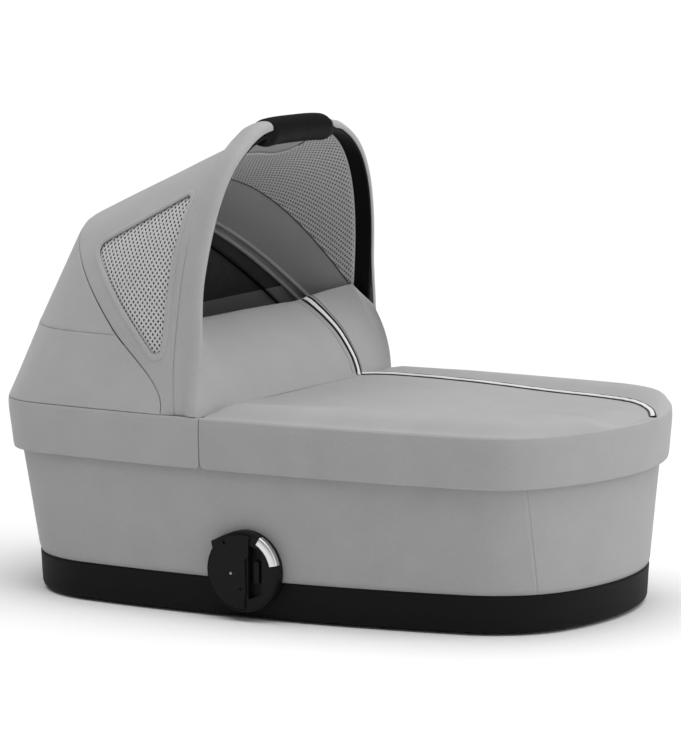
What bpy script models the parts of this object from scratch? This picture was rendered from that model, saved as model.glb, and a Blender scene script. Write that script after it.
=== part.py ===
"""Carrycot: a moulded tub with a fabric cover, a zip-off apron with a wind flap, and a folding hood.

X runs along the cot, head end at -X and foot end at +X. Z is up, and the floor is at Z = 0.
All sizes are in metres.
"""
import bpy
import bmesh
import numpy as np
from math import atan2, cos, degrees, exp, hypot, pi, radians, sin, tan
from mathutils import Vector
from mathutils.bvhtree import BVHTree

GAP = 0.0003                    # clearance between pieces that touch
OVERRUN = 0.002                 # how far a cutter runs past what it cuts

# Rim, the widest outline of the cot
RIM_LENGTH = 0.830
RIM_WIDTH = 0.470
RIM_FOOT_CORNER = 0.103
RIM_HEAD_CORNER = 0.091
RIM_TOP = 0.2337
RIM_TURNS = (28.7, 83.0, 97.9, 143.1)      # degrees from the foot where one arc meets the next

# Tray, the black moulded base
TRAY_SHORTER = 0.070            # than the rim
TRAY_LENGTH = RIM_LENGTH - TRAY_SHORTER
TRAY_SIDE_INSET = 0.0085        # from the rim, at the widest
TRAY_WIDTH = RIM_WIDTH - 2 * TRAY_SIDE_INSET
TRAY_CENTRE_X = 0.008
TRAY_FOOT_CORNER = 0.130
TRAY_HEAD_CORNER = 0.135
TRAY_TURNS = (19.0, 77.3, 96.7, 143.4)
TRAY_BOTTOM = 0.003
TRAY_TOP = 0.047
TRAY_WALL = 0.003
TRAY_CHINE = 0.006
TRAY_DRAFT = 0.002
RIB_THICK = 0.003
RIB_DEEP = 0.0022

# Feet and screws under the tray
FOOT_RADIUS = 0.012
FOOT_BEVEL = 0.0008
FOOT_FROM_END = 0.145           # of the tray
FOOT_FROM_SIDE = 0.0915
FOOT_X = TRAY_LENGTH / 2 - FOOT_FROM_END
FOOT_Y = TRAY_WIDTH / 2 - FOOT_FROM_SIDE
SCREW_HEAD_RADIUS = 0.005
SCREW_HEAD_HIGH = 0.0018
SCREW_RADIUS = 0.002
SCREW_PITCH_X = 0.200
SCREW_FROM_SIDE = 0.0665        # of the tray
SCREW_Y = TRAY_WIDTH / 2 - SCREW_FROM_SIDE

# Wall: tub inside, fabric cover outside, lining on the inner face
WALL_BELOW_RIM = 0.0054         # room for the frame and the band
WALL_TOP = RIM_TOP - WALL_BELOW_RIM
WALL_INSET = 0.010              # the wall's top edge, inside the rim outline
COVER_THICK = 0.0026
TUB_THICK = 0.0024
TUB_FLOOR_RADIUS = 0.010
LINING_THICK = 0.0012
LINING_BOTTOM = 0.020
LAYER_GAP = 0.0005

# Floor board and mattress
BOARD_THICK = 0.004
BOARD_INSET = 0.020
MATTRESS_HIGH = 0.042
MATTRESS_CROWN = 0.008
MATTRESS_INSET = 0.009          # from the lining
MATTRESS_DRAWN_IN = 0.006       # how far its sides pull in between the corners
MATTRESS_TIP = 0.0015            # cut off flat at its two ends
MATTRESS_CHANNELS = 5
MATTRESS_CHANNEL_PITCH = 0.115
MATTRESS_CHANNEL_WIDE = 0.008
MATTRESS_CHANNEL_DEEP = 0.005

# Rim frame, a channel over the wall's top edge
FRAME_SHEET = 0.0018
FRAME_DEEP = 0.024
FRAME_GAP = 0.0006
FRAME_NOTCH_BACK = 0.080        # cut away round the hood's arms, from the pivot
FRAME_NOTCH_FRONT = 0.020

# Rear rim band and the apron's skirt
BAND_HIGH = 0.060
BAND_BOTTOM = RIM_TOP - BAND_HIGH
BAND_THICK = 0.0024
BAND_DRAFT = 0.006
BAND_HEAD_DRAFT = 0.005
BAND_EDGE = 0.004               # rounding of the top edge
BAND_LAP = 0.014                # how far its top turns in over the frame
FOLD_X = -0.050                 # where the apron ends and the flap rises
BAND_SPLIT = 0.003              # open seam between band and skirt
FLAP_FOOT_X = -0.0453           # where the flap stands on the apron

# Apron
APRON_THICK = 0.0024
APRON_CROWN = 0.009
APRON_CROWN_RUN = 0.060         # how far in from the edge the crown builds up
APRON_ROW_SHARES = (0.2, 0.433, 0.75, 1.167)   # rows of its mesh, of the crown's run

# Wind flap
FLAP_THICK = 0.0020
FLAP_LIFT = 0.0012              # keeps the leaning edge of the flap clear of the apron
FLAP_FOLD_INSET = 0.009         # from the rim
FLAP_FOLD_HALF = RIM_WIDTH / 2 - FLAP_FOLD_INSET
FLAP_HIGH = 0.0983              # above the rim
FLAP_TOP_Z = RIM_TOP + FLAP_HIGH
FLAP_SIDE_X = -0.058            # top edge at the hood's arms
FLAP_MIDDLE_X = -0.140          # top edge at the middle
FLAP_EAR = 0.014
FLAP_BELLY_X = -0.076
FLAP_BELLY_SIDE_X = -0.036
FLAP_BELLY_HIGH = 0.0783        # above the rim
FLAP_BELLY_Z = RIM_TOP + FLAP_BELLY_HIGH
FLAP_BELLY_SIDE_HIGH = 0.0493
FLAP_BELLY_SIDE_Z = RIM_TOP + FLAP_BELLY_SIDE_HIGH

# Hood pivots and bows
PIVOT_X = -0.0905
PIVOT_BELOW_RIM = 0.0087
PIVOT_Z = RIM_TOP - PIVOT_BELOW_RIM
FRONT_LEAN = 5.6                # degrees forward of upright
REAR_LEAN = 44.8                # degrees back from upright
BOW_FROM_RIM = 0.027            # inner face of the front bow at the pivots
BOW_HALF = RIM_WIDTH / 2 - BOW_FROM_RIM
BOW_REACH = 0.334
BOW_SQUARENESS = 3.4            # exponent of the bow's superellipse
BOW_DEEP = 0.027
BOW_THICK = 0.0036
BOW_CORNER = 0.001
EYE_RADIUS = 0.0135
REAR_BOW_INSIDE = 0.0045        # inside the front bow
REAR_BOW_HALF = BOW_HALF - REAR_BOW_INSIDE
REAR_BOW_REACH = 0.3093
REAR_BOW_SQUARENESS = 2.4
REAR_BOW_DEEP = 0.008
REAR_BOW_THICK = 0.003
REAR_EYE_RADIUS = 0.010
PIN_RADIUS = 0.003
BRACKET_RADIUS = 0.022
BRACKET_THICK = 0.0065
BRACKET_DROP = 0.046
BRACKET_WIDE = 0.030
BRACKET_PAD_HIGH = 0.022
BUTTON_RADIUS = 0.011
BUTTON_PROUD = 0.006
BUTTON_TRAVEL = 0.003
BUTTON_POCKET = 0.004
FRAME_NOTCH_PAST_BOW = 0.0051
FRAME_NOTCH_HALF = BOW_HALF + FRAME_NOTCH_PAST_BOW
FLAP_TOP_INSIDE_BOW = 0.005
FLAP_TOP_HALF = BOW_HALF - FLAP_TOP_INSIDE_BOW
FLAP_BELLY_PAST_BOW = 0.006
FLAP_BELLY_HALF = BOW_HALF + FLAP_BELLY_PAST_BOW

# Grip
GRIP_HALF = 0.0835
GRIP_DEEP = 0.036
GRIP_HIGH = 0.030
GRIP_DROP = 0.004               # grip's middle below the bow's
GRIP_END_SHARE = 0.62           # section at the very ends
GRIP_ROUND = 0.020              # length of each rounded end

# Hood fabric
FABRIC_THICK = 0.002
FABRIC_FRONT_OFFSET = 0.0175    # front edge, forward of the bow's middle
FABRIC_OFF_BOW = 0.001
FABRIC_OFF_REAR_BOW = 0.0022
FABRIC_FLARE_HIGH = 0.0913      # above the rim, where the sides start to flare out to it
FABRIC_FLARE_Z = RIM_TOP + FABRIC_FLARE_HIGH
FABRIC_RIM_INSET = 0.003
FABRIC_LIFT = 0.0014            # hem above the rim band, so its inner edge stays clear
FABRIC_FRONT_FOOT_X = -0.060
FABRIC_BACK_FOOT_X = -0.086
FABRIC_SEAM_FOOT_X = -0.107
FABRIC_SAG = 0.004
SLOT_PAST_GRIP = 0.001          # opening behind the grip
SLOT_HALF = GRIP_HALF + SLOT_PAST_GRIP
SLOT_BACK = 0.032
SLOT_CORNER = 0.010
REAR_SEAM_HIGH = 0.087          # above the rim
REAR_SEAM_Z = RIM_TOP + REAR_SEAM_HIGH
SEAM_SPLIT = 0.0024             # between the panels where they meet over the rear bow
LINING_CLEAR = 0.0021           # hood lining inside the bows
LINING_LAP = 0.004
LINING_START_HIGH = 0.0283      # above the rim
LINING_START_Z = RIM_TOP + LINING_START_HIGH
WINDOW_CORNER = 0.013
WINDOW_CORNER_SHARES = ((-0.0337, 0.7834), (-0.4657, 0.5827), (-0.0695, 0.1793))  # of BOW_REACH
NET_GAP = 0.0014
NET_THICK = 0.0010
NET_LAP = 0.004                 # how far the net runs past the opening
NET_PITCH = 0.0190
NET_HOLE = 0.0125
NET_BORDER = 0.003

# Side adapters
ADAPTER_X = 0.010
ADAPTER_ABOVE_TRAY = 0.0123
ADAPTER_Z = TRAY_TOP + ADAPTER_ABOVE_TRAY
ADAPTER_RADIUS = 0.0478
ADAPTER_THICK = 0.013
ADAPTER_BEVEL = 0.0025
POCKET_LEFT = 0.0085            # the recess, from the disc's middle
POCKET_RIGHT = 0.0265
POCKET_HALF = 0.033
POCKET_DEEP = 0.0085
PLATE_THICK = 0.0022
PLATE_INSET = 0.004
PLATE_LUG = 0.0030
PLATE_LUG_ANGLE = 140.0
PLATE_LUG_SPREAD = 12.0
RIVET_RADIUS = 0.0035
RIVET_X = -0.013
RIVET_Z = -0.003
LOCK_HOLE_RADIUS = 0.0018
LOCK_HOLE_X = -0.001
LOCK_HOLE_Z = -0.019
CLIP_EDGE = 0.0016              # from the disc's edge
CLIP_WIDE = 0.0084
CLIP_OUTER = ADAPTER_RADIUS - CLIP_EDGE
CLIP_INNER = CLIP_OUTER - CLIP_WIDE
CLIP_START = 13.0               # degrees round the disc
CLIP_END = 60.0
CLIP_THICK = 0.005
CLIP_PROUD = 0.0012
CLIP_TRAVEL = 0.003
CLIP_POCKET = 0.0085
LATCH_WIDE = 0.008
LATCH_HIGH = 0.026
LATCH_THICK = 0.005
LATCH_TRAVEL = 0.006

STEPS_PER_ARC = (3, 6, 6, 6, 3)
HOOP_POINTS = 31
ROWS_FRONT_PANEL = 5
ROWS_REAR_PANEL = 6


for leftover in list(bpy.data.objects):
    bpy.data.objects.remove(leftover, do_unlink=True)

cot_collection = bpy.data.collections.new("carrycot")
cutter_collection = bpy.data.collections.new("cutters")
bpy.context.scene.collection.children.link(cot_collection)
bpy.context.scene.collection.children.link(cutter_collection)


def material(name, colour, roughness, metallic=0.0):
    made = bpy.data.materials.new(name)
    made.use_nodes = True
    surface = made.node_tree.nodes["Principled BSDF"]
    surface.inputs["Base Color"].default_value = (*colour, 1.0)
    surface.inputs["Roughness"].default_value = roughness
    surface.inputs["Metallic"].default_value = metallic
    made.diffuse_color = (*colour, 1.0)
    return made


FABRIC = material("pale grey fabric", (0.36, 0.36, 0.36), 0.85)
LINING = material("dark grey lining", (0.11, 0.11, 0.115), 0.9)
NET = material("grey net", (0.27, 0.27, 0.27), 0.9)
BLACK = material("black plastic", (0.012, 0.012, 0.013), 0.45)
INNER = material("inner grey plastic", (0.20, 0.20, 0.21), 0.6)
LEATHER = material("black leatherette", (0.010, 0.010, 0.011), 0.5)
RUBBER = material("rubber", (0.02, 0.02, 0.02), 0.9)
SILVER = material("satin metal", (0.62, 0.62, 0.63), 0.3, 1.0)
STEEL = material("zinc steel", (0.45, 0.45, 0.46), 0.4, 1.0)


def place(name, mesh, finish, smooth_angle=35.0):
    """Make a named object in the cot's collection from a mesh."""
    made = bpy.data.objects.new(name, mesh)
    cot_collection.objects.link(made)
    mesh.materials.append(finish)
    if smooth_angle:
        mesh.shade_smooth()
        mesh.set_sharp_from_angle(angle=radians(smooth_angle))
    return made


def mesh_from(name, bm):
    bmesh.ops.remove_doubles(bm, verts=bm.verts, dist=1e-6)
    bmesh.ops.recalc_face_normals(bm, faces=bm.faces)
    mesh = bpy.data.meshes.new(name)
    bm.to_mesh(mesh)
    bm.free()
    return mesh


def grid_mesh(name, rows, closed=False, cap_first=False, cap_last=False):
    """A surface through rows of points, each row as long as the next."""
    bm = bmesh.new()
    made = [[bm.verts.new(p) for p in row] for row in rows]
    count = len(rows[0])
    for low, high in zip(made, made[1:]):
        for i in range(count if closed else count - 1):
            j = (i + 1) % count
            bm.faces.new((low[i], low[j], high[j], high[i]))
    if cap_first:
        bm.faces.new(made[0])
    if cap_last:
        bm.faces.new(made[-1])
    return mesh_from(name, bm)


def sheet(name, rows, finish, thick, offset=-1.0, **shape):
    """An open surface given its thickness by Solidify."""
    made = place(name, grid_mesh(name, rows, **shape), finish)
    solid = made.modifiers.new("thickness", "SOLIDIFY")
    solid.thickness = thick
    solid.offset = offset
    solid.use_even_offset = True
    return made


def cutter(name, mesh):
    made = bpy.data.objects.new(name, mesh)
    cutter_collection.objects.link(made)
    made.hide_render = True
    made.display_type = "WIRE"
    return made


def boolean(target, tool, operation="DIFFERENCE"):
    cut = target.modifiers.new(tool.name, "BOOLEAN")
    cut.object = tool
    cut.operation = operation
    cut.solver = "EXACT"
    return cut


def bevel(target, width, segments=2, angle=35.0):
    edge = target.modifiers.new("edges", "BEVEL")
    edge.width = width
    edge.segments = segments
    edge.limit_method = "ANGLE"
    edge.angle_limit = radians(angle)
    return edge


def cylinder_mesh(name, start, end, radius, sides=24):
    """A capped cylinder between two points."""
    axis = Vector(end) - Vector(start)
    bm = bmesh.new()
    bmesh.ops.create_cone(bm, cap_ends=True, segments=sides, radius1=radius, radius2=radius,
                          depth=axis.length)
    turn = axis.to_track_quat("Z", "Y").to_matrix().to_4x4()
    turn.translation = (Vector(start) + Vector(end)) / 2
    bm.transform(turn)
    return mesh_from(name, bm)


def box_mesh(name, low, high):
    bm = bmesh.new()
    bmesh.ops.create_cube(bm, size=1.0)
    for v in bm.verts:
        v.co = Vector([low[k] + (v.co[k] + 0.5) * (high[k] - low[k]) for k in range(3)])
    return mesh_from(name, bm)


def prism_mesh(name, outline, start, end, axis="Y"):
    """A flat outline of (a, b) pairs, extruded from start to end along an axis."""
    def lift(a, b, c):
        return (a, c, b) if axis == "Y" else (a, b, c)
    rows = [[lift(a, b, c) for a, b in outline] for c in (start, end)]
    return grid_mesh(name, rows, closed=True, cap_first=True, cap_last=True)


def rounded(corners, radius, steps=5):
    """A polygon's corners, each turned into an arc of the given radius."""
    points = []
    for k, here in enumerate(corners):
        here = Vector(here)
        before = (Vector(corners[k - 1]) - here).normalized()
        after = (Vector(corners[(k + 1) % len(corners)]) - here).normalized()
        half = before.angle(after) / 2
        centre = here + (before + after).normalized() * radius / sin(half)
        first = here + before * radius / tan(half) - centre
        last = here + after * radius / tan(half) - centre
        sweep = atan2(first.x * last.y - first.y * last.x, first.dot(last))
        for s in range(steps + 1):
            a = sweep * s / steps
            points.append((centre.x + first.x * cos(a) - first.y * sin(a),
                           centre.y + first.x * sin(a) + first.y * cos(a)))
    return points


def smooth(value, low, high):
    t = min(max((value - low) / (high - low), 0.0), 1.0)
    return t * t * (3 - 2 * t)


class PlanOutline:
    """Half of an egg-shaped plan as five tangent arcs, from the foot's tip round to the head's."""

    def __init__(self, length, width, centre_x, foot_corner, head_corner, turns):
        self.turns = [0.0] + [radians(t) for t in turns] + [pi]
        a = self.turns
        run = [cos(a[k + 1]) - cos(a[k]) for k in range(5)]
        rise = [sin(a[k + 1]) - sin(a[k]) for k in range(5)]
        known_run = foot_corner * run[1] + head_corner * run[3]
        known_rise = foot_corner * rise[1] + head_corner * rise[3]
        system = np.array([[run[0], run[2], run[4]],
                           [rise[0], rise[2], rise[4]],
                           [rise[0], 1 - sin(a[2]), 0.0]])
        wanted = np.array([-length - known_run, -known_rise, width / 2 - foot_corner * rise[1]])
        foot_end, side, head_end = np.linalg.solve(system, wanted)
        self.radii = [foot_end, foot_corner, side, head_corner, head_end]
        self.tip_x = centre_x + length / 2

    def at(self, station, inset=0.0):
        """Point and outward normal at a station from 0, the foot's tip, to 5, the head's."""
        arc = min(int(station), 4)
        x, y = self.tip_x, 0.0
        for k in range(arc):
            x += self.radii[k] * (cos(self.turns[k + 1]) - cos(self.turns[k]))
            y += self.radii[k] * (sin(self.turns[k + 1]) - sin(self.turns[k]))
        start = self.turns[arc]
        angle = start + (station - arc) * (self.turns[arc + 1] - start)
        x += self.radii[arc] * (cos(angle) - cos(start))
        y += self.radii[arc] * (sin(angle) - sin(start))
        normal = Vector((cos(angle), sin(angle)))
        return Vector((x, y)) - normal * inset, normal

    def station_at_x(self, x):
        low, high = 0.0, 5.0
        for _ in range(50):
            middle = (low + high) / 2
            if self.at(middle)[0].x > x:
                low = middle
            else:
                high = middle
        return (low + high) / 2

    def half_width(self, x, inset=0.0):
        low, high = 0.0, 5.0
        for _ in range(40):
            middle = (low + high) / 2
            if self.at(middle, inset)[0].x > x:
                low = middle
            else:
                high = middle
        return self.at((low + high) / 2, inset)[0].y


rim = PlanOutline(RIM_LENGTH, RIM_WIDTH, 0.0, RIM_FOOT_CORNER, RIM_HEAD_CORNER, RIM_TURNS)
tray = PlanOutline(TRAY_LENGTH, TRAY_WIDTH, TRAY_CENTRE_X, TRAY_FOOT_CORNER, TRAY_HEAD_CORNER,
                   TRAY_TURNS)
HALF_STATIONS = [arc + s / n for arc, n in enumerate(STEPS_PER_ARC) for s in range(n)] + [5.0]


def mirrored(half):
    """Close a half outline, far side first, with its mirror image."""
    return half + [Vector((p[0], -p[1], *p[2:])) for p in reversed(half[1:-1])]


def wall_at(station, z, inset=0.0):
    """A point of the wall's outer face, moved in by inset."""
    t = (z - TRAY_TOP) / (WALL_TOP - TRAY_TOP)
    low, low_normal = tray.at(station)
    high, high_normal = rim.at(station, WALL_INSET)
    normal = (low_normal * (1 - t) + high_normal * t).normalized()
    p = low * (1 - t) + high * t - normal * inset
    return Vector((p.x, p.y, z))


def wall_ring(z, inset=0.0):
    return mirrored([wall_at(s, z, inset) for s in HALF_STATIONS])


def tray_ring(z, inset=0.0):
    return mirrored([Vector((*tray.at(s, inset)[0], z)) for s in HALF_STATIONS])


def band_at(station, z, inset=0.0):
    """A point of the rim band's outer face."""
    share = (RIM_TOP - z) / (RIM_TOP - BAND_BOTTOM)
    normal = rim.at(station)[1]
    draft = (BAND_DRAFT + BAND_HEAD_DRAFT * max(0.0, -normal.x) ** 2) * max(0.0, share)
    p = rim.at(station, draft + inset)[0]
    return Vector((p.x, p.y, z))


def screw_places():
    for x in (-SCREW_PITCH_X, 0.0, SCREW_PITCH_X):
        for side in (1, -1):
            yield x, side * SCREW_Y


def add_screw_holes(target, thick_from, thick_to):
    for n, (x, y) in enumerate(screw_places()):
        name = f"{target.name}_screw_hole_{n + 1}"
        hole = cylinder_mesh(name, (x, y, thick_from), (x, y, thick_to), SCREW_RADIUS + GAP, 12)
        boolean(target, cutter(name, hole))


TUB_BOTTOM = TRAY_BOTTOM + TRAY_WALL + GAP
WALL_HEIGHTS = (TRAY_TOP, (TRAY_TOP + WALL_TOP) / 2, WALL_TOP + FRAME_GAP - FRAME_DEEP, WALL_TOP)
TUB_INSET = COVER_THICK + LAYER_GAP
TUB_LOW_INSET = TRAY_DRAFT + TRAY_WALL + LAYER_GAP
TUB_FLOOR_TOP = TUB_BOTTOM + TUB_THICK
LINING_INSET = TUB_INSET + TUB_THICK + GAP
LINING_INNER = LINING_INSET + LINING_THICK
BOARD_BOTTOM = TUB_FLOOR_TOP + GAP
BOARD_TOP = BOARD_BOTTOM + BOARD_THICK
MATTRESS_BOTTOM = BOARD_TOP + GAP


def build_base_tray():
    rows = [tray_ring(TRAY_BOTTOM, TRAY_CHINE + TRAY_DRAFT),
            tray_ring(TRAY_BOTTOM + TRAY_CHINE / 3, TRAY_CHINE / 3 + TRAY_DRAFT),
            tray_ring(TRAY_BOTTOM + TRAY_CHINE, TRAY_DRAFT),
            tray_ring(TRAY_TOP, 0.0)]
    made = sheet("base_tray", rows, BLACK, TRAY_WALL, closed=True, cap_first=True)
    add_screw_holes(made, TRAY_BOTTOM - OVERRUN, TRAY_BOTTOM + TRAY_WALL + OVERRUN)
    return made


def build_tray_underside():
    """Rubber feet and the screws that hold the tub in the tray."""
    for n, (sx, sy) in enumerate(((-1, -1), (-1, 1), (1, -1), (1, 1))):
        x, y = TRAY_CENTRE_X + sx * FOOT_X, sy * FOOT_Y
        name = f"foot_{n + 1}"
        foot = place(name, cylinder_mesh(name, (x, y, 0.0), (x, y, TRAY_BOTTOM - GAP), FOOT_RADIUS,
                                          20), RUBBER)
        bevel(foot, FOOT_BEVEL, 1)
    for n, (x, y) in enumerate(screw_places()):
        name = f"tray_screw_{n + 1}"
        top = TRAY_BOTTOM - GAP
        profile = [(0.0, TUB_FLOOR_TOP), (SCREW_RADIUS, TUB_FLOOR_TOP), (SCREW_RADIUS, top),
                   (SCREW_HEAD_RADIUS, top), (SCREW_HEAD_RADIUS * 0.8, top - SCREW_HEAD_HIGH),
                   (0.0, top - SCREW_HEAD_HIGH)]
        turned(name, profile, (x, y, 0.0), "Z", STEEL, steps=10)


def turned(name, profile, centre, axis, finish, steps=32):
    """A turned piece: (radius, height) pairs run down its outer side, from top to bottom."""
    bm = bmesh.new()
    made = [bm.verts.new((r, 0.0, h)) for r, h in profile]
    for a, b in zip(made, made[1:]):
        bm.edges.new((a, b))
    mesh = bpy.data.meshes.new(name)
    bm.to_mesh(mesh)
    bm.free()
    piece = place(name, mesh, finish, smooth_angle=0)
    piece.location = centre
    if axis == "-Y":
        piece.rotation_euler = (pi / 2, 0.0, 0.0)
    elif axis == "+Y":
        piece.rotation_euler = (-pi / 2, 0.0, 0.0)
    screw = piece.modifiers.new("turn", "SCREW")
    screw.steps = steps
    screw.render_steps = steps
    screw.use_merge_vertices = True
    screw.merge_threshold = 0.00001
    screw.use_smooth_shade = False
    return piece


def build_wall():
    tub = sheet("tub_shell",
                [tray_ring(TUB_BOTTOM, TUB_LOW_INSET + TUB_FLOOR_RADIUS),
                 tray_ring(TUB_BOTTOM + TUB_FLOOR_RADIUS / 3, TUB_LOW_INSET + TUB_FLOOR_RADIUS / 3),
                 tray_ring(TUB_BOTTOM + TUB_FLOOR_RADIUS, TUB_LOW_INSET),
                 *(wall_ring(z, TUB_INSET) for z in WALL_HEIGHTS)],
                INNER, TUB_THICK, closed=True, cap_first=True)
    add_screw_holes(tub, TUB_BOTTOM - OVERRUN, TUB_FLOOR_TOP + OVERRUN)
    sheet("side_cover", [wall_ring(TRAY_TOP + GAP), *map(wall_ring, WALL_HEIGHTS[1:])],
                  FABRIC, COVER_THICK, closed=True)
    sheet("inner_lining",
          [tray_ring(LINING_BOTTOM, LINING_INSET + TUB_LOW_INSET - TUB_INSET),
           *(wall_ring(z, LINING_INSET) for z in WALL_HEIGHTS)],
          LINING, LINING_THICK, closed=True)
    board = tray_ring(BOARD_BOTTOM, BOARD_INSET)
    place("floor_board", prism_mesh("floor_board", [(p.x, p.y) for p in board], BOARD_BOTTOM,
                                    BOARD_TOP, "Z"), INNER)


def build_mattress():
    """A crowned pad with sewn cross channels, flat underneath."""
    inset = TUB_LOW_INSET + LINING_INNER - TUB_INSET + MATTRESS_INSET
    tip = tray.at(0.0, inset + MATTRESS_TIP)[0].x
    head = tray.at(5.0, inset + MATTRESS_TIP)[0].x
    middle, half = (tip + head) / 2, (tip - head) / 2
    channels = [middle + (k - (MATTRESS_CHANNELS - 1) / 2) * MATTRESS_CHANNEL_PITCH
                for k in range(MATTRESS_CHANNELS)]
    stations = {round(middle + half * sin(pi / 2 * s / 7), 5) for s in (-7, -6.6, -6, 6, 6.6, 7)}
    for c in channels:
        stations |= {c, c - MATTRESS_CHANNEL_WIDE, c + MATTRESS_CHANNEL_WIDE}
    for c in channels[:-1]:
        stations.add(c + MATTRESS_CHANNEL_PITCH / 2)
    shares = (-1.0, -0.96, -0.8, -0.45, 0.0, 0.45, 0.8, 0.96, 1.0)
    side_shares = ((0.0, 0.975), (0.18, 1.0), (0.5, 1.0), (0.82, 0.99))
    rings = []
    for x in sorted(stations):
        width = tray.half_width(x, inset)
        groove = max(exp(-((x - c) / (MATTRESS_CHANNEL_WIDE * 0.6)) ** 2) for c in channels)
        drawn = MATTRESS_DRAWN_IN * (1 - smooth(abs(x - middle) / half, 0.0, 0.85))
        ring = []
        for side in (1, -1):
            steps = side_shares if side == 1 else tuple(reversed(side_shares))
            for up, out in steps:
                pull = drawn * sin(pi * up)
                ring.append(Vector((x, side * max(width * out - pull, 0.0),
                                    MATTRESS_BOTTOM + up * MATTRESS_HIGH)))
            if side == 1:
                for share in reversed(shares[1:-1]):
                    edge = 1 - abs(share) ** 4
                    end = 1 - (abs(x - middle) / half) ** 6
                    up = MATTRESS_HIGH + (MATTRESS_CROWN * edge
                                          - MATTRESS_CHANNEL_DEEP * groove * edge) * end
                    ring.append(Vector((x, share * width * 0.97, MATTRESS_BOTTOM + up)))
        rings.append(ring)
    mesh = grid_mesh("mattress", rings, closed=True, cap_first=True, cap_last=True)
    place("mattress", mesh, LINING, 60)


def build_rim_frame():
    top = WALL_TOP + FRAME_GAP
    outside = -(FRAME_GAP + FRAME_SHEET)
    inside = LINING_INNER + FRAME_GAP + FRAME_SHEET
    rows = [wall_ring(top - FRAME_DEEP, outside), wall_ring(top + FRAME_SHEET, outside),
            wall_ring(top + FRAME_SHEET, inside), wall_ring(top - FRAME_DEEP, inside)]
    frame = sheet("rim_frame", rows, BLACK, FRAME_SHEET, closed=True)
    low = (PIVOT_X - FRAME_NOTCH_BACK, -FRAME_NOTCH_HALF, top - FRAME_DEEP - OVERRUN)
    high = (PIVOT_X + FRAME_NOTCH_FRONT, FRAME_NOTCH_HALF, top + FRAME_DEEP)
    boolean(frame, cutter("arm_notch", box_mesh("arm_notch", low, high)))


FRAME_TOP = WALL_TOP + FRAME_GAP + FRAME_SHEET


def band_rows(stations):
    """Profile rows of the band and skirt, from the lower hem up to the turned-in top."""
    full = RIM_TOP
    return [[band_at(s, BAND_BOTTOM) for s in stations],
            [band_at(s, (BAND_BOTTOM + full) / 2) for s in stations],
            [band_at(s, full - BAND_EDGE) for s in stations],
            [band_at(s, full - BAND_EDGE * 0.3, BAND_EDGE * 0.3) for s in stations],
            [band_at(s, full, BAND_EDGE) for s in stations]]


def both_sides(half_row):
    """Far side's points, then the near side's, along one continuous strip."""
    return half_row + [Vector((p.x, -p.y, p.z)) for p in reversed(half_row[:-1])]


def build_rim_band():
    split = rim.station_at_x(FOLD_X - BAND_SPLIT / 2)
    stations = [split] + [s for s in HALF_STATIONS if s > split + 0.02]
    rows = band_rows(stations) + [[band_at(s, RIM_TOP, BAND_LAP) for s in stations]]
    rows = [both_sides(row) for row in rows]
    sheet("rim_band", rows, FABRIC, BAND_THICK)


def apron_z(x, y):
    """Height of the apron's upper face: a low crown that falls to the edges."""
    side = max(rim.half_width(x) - abs(y), 0.0)
    foot = max(rim.tip_x - x, 0.0) * 1.2
    near = side * foot / hypot(side, foot) if side or foot else 0.0
    return RIM_TOP + APRON_CROWN * smooth(near, 0.0, APRON_CROWN_RUN)


def build_apron():
    split = rim.station_at_x(FOLD_X + BAND_SPLIT / 2)
    stations = [s for s in HALF_STATIONS if s < split - 0.02] + [split]
    rows = band_rows(stations)
    for share in APRON_ROW_SHARES:
        row = [band_at(s, RIM_TOP, share * APRON_CROWN_RUN) for s in stations]
        row[-1].x = rows[0][-1].x
        rows.append(row)
    for row in rows[5:]:
        for p in row:
            p.z = apron_z(p.x, p.y)
    full = [both_sides(list(reversed(row))) for row in rows]
    bm = bmesh.new()
    made = [[bm.verts.new(p) for p in row] for row in full]
    count = len(full[0])
    for low, high in zip(made, made[1:]):
        for i in range(count - 1):
            bm.faces.new((low[i], low[i + 1], high[i + 1], high[i]))
    inner, half = made[-1], count // 2
    lanes = [[v] for v in inner[:half]]
    for lane, far in zip(lanes, inner[:half]):
        for share in (0.5, 0.0, -0.5):
            y = far.co.y * share
            lane.append(bm.verts.new((far.co.x, y, apron_z(far.co.x, y))))
    for k, lane in enumerate(lanes):
        lane.append(inner[count - 1 - k])
    for a, b in zip(lanes, lanes[1:]):
        for i in range(4):
            bm.faces.new((a[i], a[i + 1], b[i + 1], b[i]))
    tip = inner[half]
    last = lanes[-1]
    for i in range(4):
        bm.faces.new((last[i], last[i + 1], tip))
    made = place("apron", mesh_from("apron", bm), FABRIC)
    solid = made.modifiers.new("thickness", "SOLIDIFY")
    solid.thickness = APRON_THICK
    solid.offset = -1.0
    return made


def flap_point(share, up):
    """The flap's upper face: share runs -1 to 1 across, up runs 0 at the fold to 1 at the top."""
    a = abs(share)
    fold_y = share * FLAP_FOLD_HALF
    fold = Vector((FLAP_FOOT_X, fold_y, apron_z(FLAP_FOOT_X, fold_y) + FLAP_LIFT))
    ear = smooth(a, 0.66, 0.92) - smooth(a, 0.90, 1.0) * 1.1
    top = Vector((FLAP_MIDDLE_X + (FLAP_SIDE_X - FLAP_MIDDLE_X) * a ** 5, share * FLAP_TOP_HALF,
                  FLAP_TOP_Z + FLAP_EAR * ear))
    belly = Vector((FLAP_BELLY_X + (FLAP_BELLY_SIDE_X - FLAP_BELLY_X) * a ** 5,
                    share * FLAP_BELLY_HALF,
                    FLAP_BELLY_Z + (FLAP_BELLY_SIDE_Z - FLAP_BELLY_Z) * a ** 4))
    return fold * (1 - up) ** 2 + belly * (2 * up * (1 - up)) + top * up ** 2


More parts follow.
